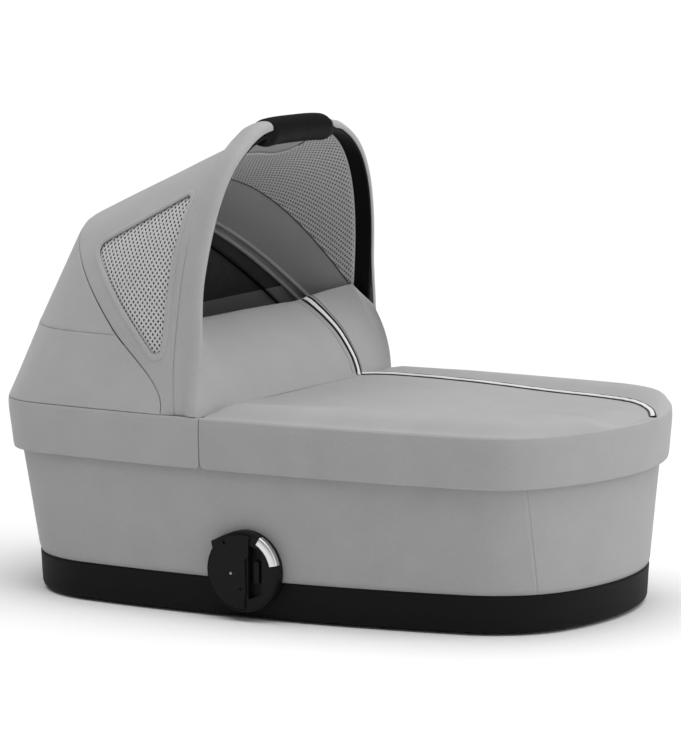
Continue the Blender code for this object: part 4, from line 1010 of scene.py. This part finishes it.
def clothHoop(bow, inset, offset, footX, count=None):
    # a hoop of the hood's cloth, flared at its feet to stand on the rim
    points = [p for p in bowHoop(bow, hood[bow + "Skin"], inset, offset) if p.z >= footZ]
    rimY = rim.halfWidth(footX) - hood["rimInset"] - inset
    out = []
    for p in resampled(points, 400):
        t = unit((hood["flareZ"] - p.z) / (hood["flareZ"] - footZ)) ** 1.8
        out.append(Vector((mix(p.x, footX, t), mix(p.y, rimY if p.y > 0 else -rimY, t), p.z)))
    out = resampled(out, count or hood["count"])
    out[0].z = out[-1].z = footZ
    return out


def frontFootX(offset):
    start, run = hood["footRun"]
    return hood["frontFoot"] + (offset - start) * (hood["frontFoot"] - hood["backFoot"]) / run


def between(a, b, t, sag):
    # the row a share of the way between two hoops, drawn in by the sag
    drawn = sag * 4 * t * (1 - t)
    row = []
    for k, (p, q) in enumerate(zip(a, b)):
        point = p.lerp(q, t)
        inward = Vector((hood["pivot"].x - point.x, -point.y, plan["rimTop"] - point.z))
        foot = sin(pi * k / (len(a) - 1)) ** 0.5
        row.append(point + inward.normalized() * drawn * foot)
    row[0].z = row[-1].z = footZ
    return row


def rounded(corners, radii, steps=8):
    # a polygon with its corners rounded off
    points = []
    for k, (here, radius) in enumerate(zip(corners, radii)):
        here = Vector(here)
        before = (Vector(corners[k - 1]) - here).normalized()
        after = (Vector(corners[(k + 1) % len(corners)]) - here).normalized()
        half = before.angle(after) / 2
        centre = here + (before + after).normalized() * radius / sin(half)
        first = here + before * radius / tan(half) - centre
        last = here + after * radius / tan(half) - centre
        sweep = atan2(first.x * last.y - first.y * last.x, first.dot(last))
        for a in (sweep * s / steps for s in range(steps + 1)):
            points.append(Vector((centre.x + first.x * cos(a) - first.y * sin(a),
                                  centre.y + first.x * sin(a) + first.y * cos(a))))
    return points


def centreOf(outline):
    return sum(outline, Vector((0.0, 0.0))) / len(outline)


def edgesOf(outline):
    return [(a, b) for a, b in zip(outline, outline[1:] + outline[:1]) if (b - a).length > 1e-7]


def squareTo(a, b):
    return Vector(((b - a).y, -(b - a).x)).normalized()


def turning(a, b, p):
    # positive where p lies to the left of the way from a to b
    return (b.x - a.x) * (p.y - a.y) - (b.y - a.y) * (p.x - a.x)


def cutOut(bm, outline, axis, onlySide=None, reach=0.012):
    # cut a convex outline, given in the plane square to an axis, out of a sheet
    def flat(face):
        p = face.calc_center_median()
        return Vector((p.x, p.z)) if axis == "Y" else Vector((p.x, p.y))

    def solid(p):
        return Vector((p.x, 0.0, p.y)) if axis == "Y" else Vector((p.x, p.y, 0.0))

    def wanted(face):
        return onlySide is None or face.calc_center_median().y * onlySide >= 0

    edges = edgesOf(outline)
    for a, b in edges:
        normal = squareTo(a, b)
        along, span = (b - a).normalized(), (b - a).length / 2 + reach
        faces = []
        for face in filter(wanted, bm.faces):
            offset = flat(face) - (a + b) / 2
            if abs(offset.dot(normal)) < reach and abs(offset.dot(along)) < span:
                faces.append(face)
        if faces:
            corners = list({v for f in faces for v in f.verts})
            rims = list({e for f in faces for e in f.edges})
            bmesh.ops.bisect_plane(bm, geom=faces + corners + rims, plane_co=solid(a),
                                   plane_no=solid(normal), dist=1e-6)
    sign = 1 if turning(*edges[0], centreOf(outline)) > 0 else -1
    gone = [face for face in filter(wanted, bm.faces)
            if all(sign * turning(a, b, flat(face)) > 0 for a, b in edges)]
    bmesh.ops.delete(bm, geom=gone, context="FACES")


def grown(outline, margin):
    middle = centreOf(outline)
    return [middle + (p - middle) * (1 + margin / (p - middle).length) for p in outline]


window = {"corners": ((-0.0968, 0.4935), (-0.2460, 0.4196), (-0.1137, 0.2849)),
          "radii": (0.008, 0.013, 0.013), "lap": 0.004, "centre": (-0.14, 0, 0.4),
          "welt": 0.0042, "weltOut": 0.0028, "weltCount": 120, "weltFlat": 0.42,
          "pitch": (0.0074, 0.0080), "strand": 0.0020, "netThick": 0.0009, "leastHole": 2.5e-6,
          "behind": 0.0024, "backing": 0.0048, "backStep": 0.004, "backThick": 0.0006}
windowOutline = rounded(window["corners"], window["radii"])
gripSlot = {"half": 0.0845, "front": 0.12, "back": 0.032, "corner": 0.010, "crest": 0.3406}


def slotOutline():
    # the opening behind the grip, seen from above
    crest = hood["pivot"].x + sin(radians(hood["frontLean"])) * gripSlot["crest"]
    ahead, back, half = crest + gripSlot["front"], crest - gripSlot["back"], gripSlot["half"]
    return rounded(((ahead, -half), (ahead, half), (back, half), (back, -half)),
                   [gripSlot["corner"]] * 4)


# the section holds offset along the bow's axis, inset at the sides and inset at the crest
sleeve = {"section": ((0.0136, 0.0046, 0.0046), (0.0143, 0.0040, 0.0040),
                      (0.0148, 0.0028, 0.0028), (0.0149, 0.0012, 0.0012),
                      (0.0145, -0.0006, -0.0006), (0.0135, -0.0018, -0.0018),
                      (0.0115, -0.0028, -0.0028), (0.0085, -0.0034, -0.0034),
                      (0.0055, -0.0032, -0.0034), (0.0025, -0.0022, -0.0030),
                      (0.0000, -0.0009, -0.0024), (-0.0025, 0.0004, -0.0016),
                      (-0.0050, 0.0012, -0.0010), (-0.0080, 0.0014, -0.0004),
                      (-0.0115, 0.0011, 0.0006), (-0.0145, 0.0012, 0.0026),
                      (-0.0165, 0.0024, 0.0060), (-0.0172, 0.0036, 0.0105)),
          "end": 0.0855, "tongue": 0.0125, "puff": 0.0085, "farShare": 0.3,
          "crestFrom": (0.42, 0.545), "fore": (0.0090, 0.395, 0.105), "thick": 0.0010}


def raisedHoop(inset, crest, offset, count=None):
    # a hoop by the front bow with one inset at its sides and another at its crest
    footX = frontFootX(offset)
    flanks = clothHoop("front", inset, offset, footX, count)
    top = clothHoop("front", crest, offset, footX, count)
    hoop = [p.lerp(q, smooth(p.z, *sleeve["crestFrom"])) for p, q in zip(flanks, top)]
    fore, high, run = sleeve["fore"]
    share = unit((offset + 0.0172) / 0.0308)
    for p in hoop:
        p.x += fore * share * smooth(high - p.z, 0.0, run)
    return hoop


def makeSleeve():
    up = hoopAxes(hood["frontLean"])[0]
    halves = []
    for side in (-1, 1):
        full = sleeve["puff"] * (1.0 if side < 0 else sleeve["farShare"])
        rows = []
        for offset, inset, crest in sleeve["section"]:
            hoop = raisedHoop(inset, crest, offset, 400)
            if side == 1:
                hoop = hoop[::-1]
            across = 1 - 0.65 * (offset / 0.0165) ** 2
            for k, p in enumerate(hoop):
                puff = smooth(0.138 - abs(p.y), 0.0, 0.045) * smooth(p.z, 0.45, 0.50)
                crease = 0.0009 * ripple((p.x, p.y, 0.0), 75.0, 4.0) * puff
                hoop[k] = p + up * (full * puff * across + crease)
            end = sleeve["end"] - sleeve["tongue"] * smooth(offset, -0.004, 0.0125)
            stop = next(k for k, p in enumerate(hoop) if abs(p.y) <= end)
            last, previous = hoop[stop], hoop[stop - 1]
            share = (abs(previous.y) - end) / max(abs(previous.y) - abs(last.y), 1e-9)
            rows.append(resampled(hoop[:stop] + [previous.lerp(last, share)], 110))
        half = rowsPiece("sleeveHalf", rows, paleCloth)
        faceAway(half, hood["pivot"] + Vector((-0.02, 0, 0.2)))
        halves.append(half)
    made = joined("frontSleeve", *halves)
    made.data.shade_smooth()
    thicken(made, sleeve["thick"])
    give(soften(made, 0.0004), "front_bow", "hood_front_panel")


def makeFrontPanel():
    back = raisedHoop(0.0006, 0.0112, -0.0148)
    seam = clothHoop("rear", 0.0, 0.0, hood["seamFoot"])
    rows = []
    for k in range(41):
        t = k / 40
        row = between(back, seam, t, hood["sag"])
        distance = (row[80] - back[80]).length
        fold = 0.0008 * hump(distance, 0.012, 0.006) * (1 if k else 0)
        edge = -0.0010 * hump(t, 1.0, 0.02)
        out = []
        for p in row:
            away = Vector((p.x - hood["pivot"].x, p.y, p.z - 0.30)).normalized()
            height = smooth(p.z, 0.25, 0.32)
            out.append(p + away * ((fold + edge) * height
                                   + 0.0010 * ripple(p, 8.0, 2.0) * height * sin(pi * t)))
        rows.append(out)
    made = rowsPiece("hoodPanel", rows, paleCloth)
    faceAway(made, hood["pivot"] + Vector((-0.08, 0, 0.08)))
    skin = surfaceOf(made)
    with edited(made) as bm:
        cutOut(bm, windowOutline, "Y", 1)
        cutOut(bm, windowOutline, "Y", -1)
        cutOut(bm, slotOutline(), "Z")
    made.data.shade_smooth()
    thicken(made, hood["cloth"])
    return soften(made, 0.0004, 2, 50), skin


def everything(bm):
    return bm.verts[:] + bm.edges[:] + bm.faces[:]


def onSkin(skin, x, z, side, inset=0.0):
    start = Vector((x, side * 0.3, z))
    place, normal = skin.ray_cast(start, Vector((0, -side, 0)))[:2]
    if place is None:
        place, normal = skin.find_nearest(Vector((x, side * 0.2, z)))[:2]
    if normal.y * side < 0:
        normal = -normal
    return place - normal * inset, normal


def keepInside(bm, outline):
    # trim a flat sheet in the XZ plane to a convex outline
    middle = centreOf(outline)
    for a, b in edgesOf(outline):
        normal = squareTo(a, b)
        if normal.dot(middle - a) > 0:
            normal = -normal
        bmesh.ops.bisect_plane(bm, geom=everything(bm), dist=1e-6, plane_co=(a.x, 0, a.y),
                               plane_no=(normal.x, 0, normal.y), clear_outer=True)


def makeWindows(skin):
    pieces = []
    w = window
    px, pz = w["pitch"]
    wide = grown(windowOutline, w["lap"])
    lowX, lowZ = min(p.x for p in wide), min(p.y for p in wide)
    spanX, spanZ = max(p.x for p in wide) - lowX, max(p.y for p in wide) - lowZ
    for side, word in sides:
        edge = grown(windowOutline, w["weltOut"])
        path, ups = zip(*(onSkin(skin, p.x, p.y, side, 0.0002)
                          for p in resampled(edge + edge[:1], w["weltCount"] + 1)[:-1]))
        welt = cordPiece("windowWelt" + word, path, w["welt"], paleCloth, 14, True,
                         w["weltFlat"], ups)
        give(welt)
        bm = bmesh.new()
        knots = {}
        for i in range(2 * (int(spanX / px) + 2)):
            for j in range(i % 2, 2 * (int(spanZ / pz) + 2), 2):
                around = ((i, j), (i + 1, j - 1), (i + 2, j), (i + 1, j + 1))
                for a, b in around:
                    if (a, b) not in knots:
                        knots[a, b] = bm.verts.new((lowX + a * px / 2, 0.0, lowZ + b * pz / 2))
                bm.faces.new([knots[knot] for knot in around])
        bm.normal_update()
        keepInside(bm, wide)
        holes = [f for f in bm.faces if f.calc_area() >= w["leastHole"]]
        bmesh.ops.inset_individual(bm, faces=holes, thickness=w["strand"] / 2,
                                   use_even_offset=True)
        bmesh.ops.delete(bm, geom=holes, context="FACES")
        for v in bm.verts:
            v.co = onSkin(skin, v.co.x, v.co.z, side, w["behind"])[0]
        net = formPiece("windowNet" + word, bm, netCloth)
        net.data.shade_smooth()
        faceAway(net, w["centre"])
        net.modifiers.new("thickness", "SOLIDIFY").thickness = w["netThick"]
        give(rounding(net), None, "window_net_" + word.lower())
        step = w["backStep"]
        rows = [[Vector((lowX + i * step, 0.0, lowZ + j * step))
                 for j in range(int(spanZ / step) + 2)] for i in range(int(spanX / step) + 2)]
        back = rowsPiece("windowBack" + word, rows, netBack)
        with edited(back) as bm:
            keepInside(bm, wide)
            for v in bm.verts:
                v.co = onSkin(skin, v.co.x, v.co.z, side, w["backing"])[0]
        clothLayer(back, w["centre"], w["backThick"])
        pieces += [welt, net, back]
    return pieces


def rearEdge(inset=0.0):
    # the skirt's foot, round the head end of the rim
    start = rim.stationAt(hood["seamFoot"])
    half = []
    for k in range(121):
        p = rim.at(start + (5.0 - start) * k / 120, hood["rimInset"] + inset)[0]
        half.append(Vector((p.x, -p.y, footZ)))
    return resampled(mirrored(half, 0), hood["count"])


def rearCloth(inset, sag):
    # rows from the rear seam down to the rim
    seam = clothHoop("rear", inset, 0.0, hood["seamFoot"])
    low = rearEdge(inset)
    seam = [p + (q - p - Vector((0.012, 0, 0))).normalized() * 0.0012 for p, q in zip(seam, low)]
    return [between(seam, low, k / 48, sag) for k in range(49)]


def makeRearPanels():
    seamZ = hood["seamZ"]
    shaped = []
    for r, row in enumerate(rearCloth(0.0, hood["sag"])):
        t = r / 48
        out = []
        for p in row:
            away = Vector((p.x + 0.12, p.y, p.z - 0.28)).normalized()
            rolled = -0.0010 * hump(t, 0.0, 0.015)
            pinch = -0.0011 * hump(p.z, seamZ, 0.0012) + 0.0006 * hump(p.z, seamZ, 0.006)
            if p.z < seamZ:
                pinch -= 0.0002
            slack = 0.0016 * ripple(p, 7.0, 8.0) * sin(pi * t)
            out.append(p + away * (rolled + pinch + slack))
        shaped.append(out)
    whole = rowsPiece("rearWhole", shaped, paleCloth)
    faceAway(whole, (-0.2, 0, 0.25))
    made = []
    for name, above, node in (("hoodBackPanel", True, "hood_back_panel"),
                              ("hoodSkirt", False, "hood_skirt")):
        bm = bmesh.new()
        bm.from_mesh(whole.data)
        for shift in (-0.004, -0.002, -0.001, 0.001, 0.002, 0.004):
            bmesh.ops.bisect_plane(bm, geom=everything(bm), plane_co=(0, 0, seamZ + shift),
                                   plane_no=(0, 0, 1))
        z = seamZ + (0.0002 if above else -0.0002)
        bmesh.ops.bisect_plane(bm, geom=everything(bm), plane_co=(0, 0, z), plane_no=(0, 0, 1),
                               clear_inner=above, clear_outer=not above)
        piece = formPiece(name, bm, paleCloth)
        piece.data.shade_smooth()
        thicken(piece, hood["cloth"])
        made.append(give(soften(piece, 0.0005, 2, 50), None, node))
    bpy.data.objects.remove(whole, do_unlink=True)
    return made


linings = {"clear": 0.0021, "lap": 0.004, "startZ": 0.262, "thick": 0.0010, "ridgeHalf": 0.006,
           "seam": ((-0.1457, 0.4261), (0.8108, 0.5853)),
           "ridge": ((-0.1997, 0.3767), (0.6973, 0.7167)),
           "strip": ((-0.2352, 0.3315), (-0.2258, 0.9742)),
           "lip": (-0.131, 0.0915, 0.030)}


def innerHoop(bow, offset):
    points = bowHoop(bow, 0.0, linings["clear"], offset)
    row = resampled([p for p in points if p.z >= linings["startZ"]], hood["count"])
    row[0].z = row[-1].z = linings["startZ"]
    return row


def beyond(p, plane):
    # how far a point lies past one of the planes that stand across the hood
    (x, z), (nx, nz) = linings[plane]
    return (p.x - x) * nx + (p.z - z) * nz


def cutPaths(bm, plane, shift=0.0):
    # where a plane crosses a sheet, as ordered paths of points
    (x, z), (nx, nz) = linings[plane]
    result = bmesh.ops.bisect_plane(bm, geom=everything(bm), dist=1e-6,
                                    plane_co=(x + nx * shift, 0, z + nz * shift),
                                    plane_no=(nx, 0, nz))
    links = {}
    for e in (e for e in result["geom_cut"] if isinstance(e, bmesh.types.BMEdge)):
        a, b = e.verts
        links.setdefault(a, []).append(b)
        links.setdefault(b, []).append(a)
    paths, seen = [], set()
    for v in sorted(links, key=lambda v: (len(links[v]), v.index)):
        if v in seen:
            continue
        path, here = [], v
        while here is not None:
            seen.add(here)
            path.append(here.co.copy())
            here = next((n for n in links[here] if n not in seen), None)
        paths.append(path)
    return paths


def makeGusset(lip):
    # the dark cloth from the lining's lip up to the bow, behind the grip
    up, ahead = hoopAxes(hood["frontLean"])
    half, reach, squareness = hood["front"]
    rows = []
    for t in (k / 8 for k in range(9)):
        row = []
        for p in lip:
            y = p.y * 0.965
            crest = (reach + 0.001) * (1 - (abs(y) / half) ** squareness) ** (1 / squareness)
            top = hood["pivot"] + up * crest + ahead * -0.0120
            top.y = y
            q = p.lerp(top, t)
            q.z += 0.0012 * (1 - t) - 0.002 * 4 * t * (1 - t)
            row.append(q)
        rows.append(row)
    return give(thicken(rowsPiece("gripGusset", rows, darkCloth), 0.0008))


def makeLining():
    first = innerHoop("front", linings["lap"] - hood["bowDeep"] / 2)
    last = innerHoop("rear", 0.0)
    rows = []
    for t in (k / 32 for k in range(33)):
        row = []
        for p, q in zip(first, last):
            point = p.lerp(q, t)
            away = Vector((hood["pivot"].x - point.x, -point.y, 0.25 - point.z)).normalized()
            row.append(point + away * 0.003 * 4 * t * (1 - t))
        rows.append(row)
    lining = rowsPiece("hoodLining", rows, meshLining, darkCloth, plush)
    faceAway(lining, (-0.15, 0, 0.3))
    run = [0.0]
    for a, b in zip(rows[0], rows[0][1:]):
        run.append(run[-1] + (b - a).length)
    values = []
    for row in rows:
        for n, p in enumerate(row):
            values += [(p - rows[0][n]).length, run[n], 0.0]
    weave = lining.data.attributes.new("weave", "FLOAT_VECTOR", "POINT")
    weave.data.foreach_set("vector", values)
    ridge = linings["ridgeHalf"]
    back, half, corner = linings["lip"]
    outline = rounded(((0.06, -half), (0.06, half), (back, half), (back, -half)), [corner] * 4, 12)
    with edited(lining) as bm:
        seams = cutPaths(bm, "seam")
        ridges = cutPaths(bm, "ridge", -ridge) + cutPaths(bm, "ridge", ridge)
        cutPaths(bm, "strip")
        for face in bm.faces:
            c = face.calc_center_median()
            plushed = beyond(c, "ridge") <= -ridge and beyond(c, "strip") >= 0
            face.material_index = 0 if beyond(c, "seam") > 0 else 2 if plushed else 1
        whole = BVHTree.FromBMesh(bm)
        cutOut(bm, outline, "Z")
    lip = []
    for p in resampled([q for q in outline if q.x < 0.0], 90):
        place = whole.ray_cast(Vector((p.x, p.y, 0.40)), Vector((0, 0, 1)))[0]
        if place is not None:
            lip.append(place)
    lip.sort(key=lambda p: p.y)
    low = sorted((p for p in lip if p.y < -half + 1e-4), key=lambda p: -p.x)
    high = sorted((p for p in lip if p.y > half - 1e-4), key=lambda p: p.x)
    lip = low + [p for p in lip if abs(abs(p.y) - half) > 1e-4] + high
    lining.data.shade_smooth()
    give(thicken(lining, linings["thick"]), None, "hood_lining")
    cords = []
    for paths, radius, finish, sideCount, flat in ((seams, 0.0009, darkThread, 6, 1.0),
                                                   (ridges, 0.0034, darkCloth, 10, 0.8)):
        for path in (path for path in paths if len(path) > 8):
            inner = [p + (Vector((-0.16, 0, 0.33)) - p).normalized() * 0.0012 for p in path]
            cords.append(cordPiece("liningCord", resampled(inner, 120), radius, finish,
                                   sideCount, flat=flat))
    cords.append(cordPiece("liningLip", resampled(lip, 80), 0.0013, netCloth, 8))
    trims = give(joined("liningTrims", *cords))
    return lining, trims, makeGusset(resampled(lip, 61))


def makeBackLining():
    made = rowsPiece("backLining", rearCloth(0.0052, 0.006), plush, darkCloth)
    faceAway(made, (-0.2, 0, 0.25))
    with edited(made) as bm:
        cutPaths(bm, "strip")
        for face in bm.faces:
            face.material_index = 1 if beyond(face.calc_center_median(), "strip") < 0 else 0
    return give(thicken(made, linings["thick"]))


def bowLine(inset, offset, lowest=0.0):
    points = bowHoop("front", hood["bowThick"], inset, offset)
    return resampled([p for p in points if p.z >= lowest], hood["count"])


def makeBow():
    half, thick, radius = hood["bowDeep"] / 2, hood["bowThick"], 0.0012
    section = []
    for a, b in ((-1, 0), (-1, 1), (1, 1), (1, 0)):
        for turn in (0.0, pi / 4, pi / 2):
            out, up = cos(turn), sin(turn)
            if (a, b) in ((-1, 1), (1, 0)):
                out, up = up, out
            middle, way = (thick - radius, 1) if b else (radius, -1)
            section.append((a * (half - radius) + radius * (a * out),
                            middle + radius * (up * way)))
    rows = [list(row) for row in zip(*(bowLine(inset, offset) for offset, inset in section))]
    made = crisp(solidPiece("frontBowStrip", rows, partBlack), 60)
    give(made, "front_bow", "front_bow")
    line = bowLine(thick + 0.0010, -half + 0.0034, linings["startZ"])
    give(cordPiece("bowPiping", line, 0.0019, netCloth, 8), "front_bow")


grip = {"half": 0.0835, "deep": 0.036, "high": 0.0335, "drop": 0.0008, "endShare": 0.62,
        "round": 0.020, "seamPoint": 29}


def makeGrip():
    g = grip
    up, ahead = hoopAxes(hood["frontLean"])
    half, reach, squareness = hood["front"]
    centre = superellipse(half + 0.0018, reach + 0.0018 - g["drop"], squareness, 1200)
    rows = []
    for p in resampled([p for p in centre if abs(p.x) <= g["half"]], 71):
        end = smooth(g["half"] - abs(p.x), 0.0, g["round"])
        scale = g["endShare"] + (1 - g["endShare"]) * end ** 0.6
        tip = min(1.0, (g["half"] - abs(p.x)) / 0.004) ** 0.5
        scale *= 0.72 + 0.28 * tip
        deep = max(scale, 0.80 * (0.9 + 0.1 * tip))
        row = []
        for a in (2 * pi * k / 40 for k in range(40)):
            seam = 1 - 0.035 * hump(((a - 1.45 * pi + pi) % (2 * pi)) - pi, 0.0, 0.07)
            row.append(hood["pivot"] + up * (p.y + scale * seam * g["high"] / 2 * sin(a))
                       + Vector((0, p.x, 0)) + ahead * g["deep"] / 2 * deep * seam * cos(a))
        rows.append(row)
    made = crisp(solidPiece("gripCover", rows, leather), 60)
    give(made, "front_bow", "handle_grip")
    path, ups = [], []
    for row in rows[4:-4]:
        away = (row[g["seamPoint"]] - sum(row, Vector()) / len(row)).normalized()
        path.append(row[g["seamPoint"]] + away * 0.0001)
        ups.append(away)
    seam = stitches("gripStitches", path, ups, darkThread, 0.0042, 0.0028, 0.0004)
    give(seam, "front_bow")


# side adapters

adapter = {"x": 0.010, "z": 0.0593, "radius": 0.0478, "thick": 0.013, "back": 0.2268,
           "plateRadius": 0.0438, "plateThick": 0.0022,
           "plateEdge": ((0.0118, 0.0422), (0.0100, 0.0370), (0.0098, 0.0188), (0.0052, 0.0150),
                         (0.0062, -0.0250), (0.0048, -0.0300), (0.0048, -0.04354)),
           "lockHole": (-0.0010, -0.0204, 0.0013), "sight": (-0.0225, 0.0330, 0.0022),
           "rivet": (-0.0135, -0.0025, 0.0017),
           "lug": ((114.0, 1.0), (141.5, 1.11), (147.0, 1.0)),
           "clip": (0.0382, 0.0486, 13.0, 60.0)}


def polar(radius, turn, x=0.0, z=0.0):
    return x + radius * cos(turn), z + radius * sin(turn)


def facing(flat, side, out):
    # a point of the adapter's face, given from its middle
    return Vector((adapter["x"] + flat[0], side * out, adapter["z"] + flat[1]))


def platePiece(name, loops, side, low, high, finish):
    # a flat plate facing sideways, from an outline and its holes
    bm = bmesh.new()
    for loop in loops:
        verts = [bm.verts.new(facing(p, side, low)) for p in loop]
        for a, b in zip(verts, verts[1:] + verts[:1]):
            bm.edges.new((a, b))
    bmesh.ops.triangle_fill(bm, edges=bm.edges[:], use_beauty=True)
    raised = bmesh.ops.extrude_face_region(bm, geom=bm.faces[:], use_keep_orig=True)
    for v in (g for g in raised["geom"] if isinstance(g, bmesh.types.BMVert)):
        v.co.y = side * high
    return soften(outward(formPiece(name, bm, finish)), 0.0006, 2, 50)


def ringLoop(x, z, radius, count):
    return [polar(radius, 2 * pi * k / count, x, z) for k in range(count)]


def makeAdapterFace(side, word):
    a = adapter
    front = a["back"] + a["thick"]
    edge = a["plateEdge"]
    first, last = atan2(edge[0][1], edge[0][0]), atan2(edge[-1][1], edge[-1][0]) + 2 * pi
    outline = [polar(a["plateRadius"], mix(first, last, k / 60)) for k in range(1, 60)]
    outline += reversed(edge)
    holes = [ringLoop(*a["lockHole"], 12), ringLoop(*a["sight"], 16)]
    plate = platePiece("adapterPlate" + word, [outline] + holes, side, front + 0.0001,
                       front + a["plateThick"], partBlack)
    give(plate, "cot", "adapter_plate_" + word.lower())
    x, z, radius = a["rivet"]
    top = front + a["plateThick"] - 0.0001
    rings = [[Vector((*polar(r, 2 * pi * k / 24, a["x"] + x, a["z"] + z), 0.0)).xzy
              + Vector((0, side * top + side * out, 0)) for k in range(24)]
             for r, out in ((radius, 0.0), (radius, 0.0003), (radius * 0.85, 0.0008),
                            (radius * 0.4, 0.0011), (0.0001, 0.0012))]
    rivet = crisp(solidPiece("plateRivet" + word, rings, zinc))
    give(rivet, "cot", "plate_rivet_" + word.lower())
    outer = [polar(a["radius"] * share, radians(t)) for t, share in a["lug"]]
    inner = [polar(a["radius"] * 0.9, radians(t)) for t in (147.0, 136.0, 125.0, 114.0)]
    lug = platePiece("adapterLug" + word, [outer + inner], side, a["back"] + 0.004,
                     front + 0.0004, partBlack)
    give(lug, "cot")


def makeClip(side, word):
    # a sprung metal clip that lies on the disc's face and folds over its edge
    a = adapter
    inner, outer, start, end = a["clip"]
    front = a["back"] + a["thick"]
    section = [(inner, 0.0010), (inner + 0.0008, 0.0014), (outer - 0.0016, 0.0014),
               (outer - 0.0005, 0.0008), (outer, -0.0006), (outer, -0.0062),
               (outer - 0.0007, -0.0066), (outer - 0.0007, -0.0012), (outer - 0.0020, 0.0002),
               (inner, 0.0002)]
    rows = [[facing(polar(radius, radians(mix(start, end, k / 24))), side, front + out)
             for radius, out in section] for k in range(25)]
    made = soften(solidPiece("releaseClip" + word, rows, satin), 0.0003, 2, 50)
    give(crisp(made, 50), "release_clip_" + word.lower(),
         "release_clip_" + word.lower())


def makeAdapters():
    a = adapter
    for side, word in sides:
        ring = [facing(polar(a["radius"] - 0.0020, radians(64 + 296 * k / 96)), side,
                       a["back"] + a["thick"] - 0.0001) for k in range(97)]
        give(cordPiece("adapterBead" + word, ring, 0.0007, partBlack, 6), "cot")
        makeAdapterFace(side, word)
        makeClip(side, word)


makeTray()
makeSideCover()
makeInside()
print("base and cover made")
makeMattress()
print("mattress made")
makeRimBand()
apronPiece = makeApron()
flapPiece = makeFlap()
makeStripes(apronPiece, flapPiece)
print("band, apron and flap made")
makeSleeve()
panel, skin = makeFrontPanel()
windowPieces = makeWindows(skin)
lining, liningTrims, gusset = makeLining()
backPanel, skirt = makeRearPanels()
backLining = makeBackLining()
makeBow()
makeGrip()
print("hood made")
makeAdapters()

give(panel)
for piece in (panel, lining, liningTrims, gusset, *windowPieces):
    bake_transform(piece)
for piece in (backPanel, skirt, backLining):
    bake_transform(piece)
dressNode(trayBlack, "rim_frame")
dressNode(partBlack, "front_bow", "rear_bow",
          pairs=("pivot_bracket", "adapter_housing", "adapter_plate", "latch"))
dressNode(innerGrey, "tub_shell", "floor_board")
dressNode(rubberBlack, *[f"foot_{n}" for n in range(1, 5)], pairs=["hood_button"])
dressNode(zinc, *[f"tray_screw_{n}" for n in range(1, 7)], pairs=("plate_rivet", "hood_pin"))
dressNode(satin, pairs=["release_clip"])
print("nodes dressed")


# studio

studio = {"floor": 40.0, "floorTones": (0.93, 0.96),
          "cameraAt": (2.3164, -4.1635, 0.8780), "lookAt": (0.0082, 0.0, 0.2631),
          "lens": 191.1, "ambient": 0.27,
          "suns": ((2.25, (0.0, 0.0, 1.0)), (1.30, (1.0, 0.05, 0.36))), "spread": 75.0}


def makeStudio():
    size = studio["floor"]
    rows = [[Vector((x * size, y * size, 0.0)) for x in (-1, 0, 1)] for y in (-1, 0, 1)]
    pale = material("pale floor", {"Roughness": 0.9},
                    lambda place: [place.speckle(3.0).tones(*studio["floorTones"])])
    rowsPiece("studioFloor", rows, pale)
    world = bpy.data.worlds.new("studio")
    world.use_nodes = True
    world.node_tree.nodes["Background"].inputs["Color"].default_value = grey(1.0)
    world.node_tree.nodes["Background"].inputs["Strength"].default_value = studio["ambient"]
    scene.world = world
    for strength, way in studio["suns"]:
        light = bpy.data.lights.new("window", "SUN")
        light.energy = strength
        light.angle = radians(studio["spread"])
        linked("window", light).rotation_euler = Vector(way).to_track_quat("Z", "Y").to_euler()
    camera = bpy.data.cameras.new("camera")
    camera.lens = studio["lens"]
    camera.sensor_width = 36.0
    camera.clip_end = 100.0
    viewer = linked("camera", camera)
    viewer.location = studio["cameraAt"]
    aim = Vector(studio["lookAt"]) - Vector(studio["cameraAt"])
    viewer.rotation_euler = aim.to_track_quat("-Z", "Y").to_euler()
    scene.camera = viewer
    scene.view_settings.view_transform = "Standard"
    print("studio made")


makeStudio()
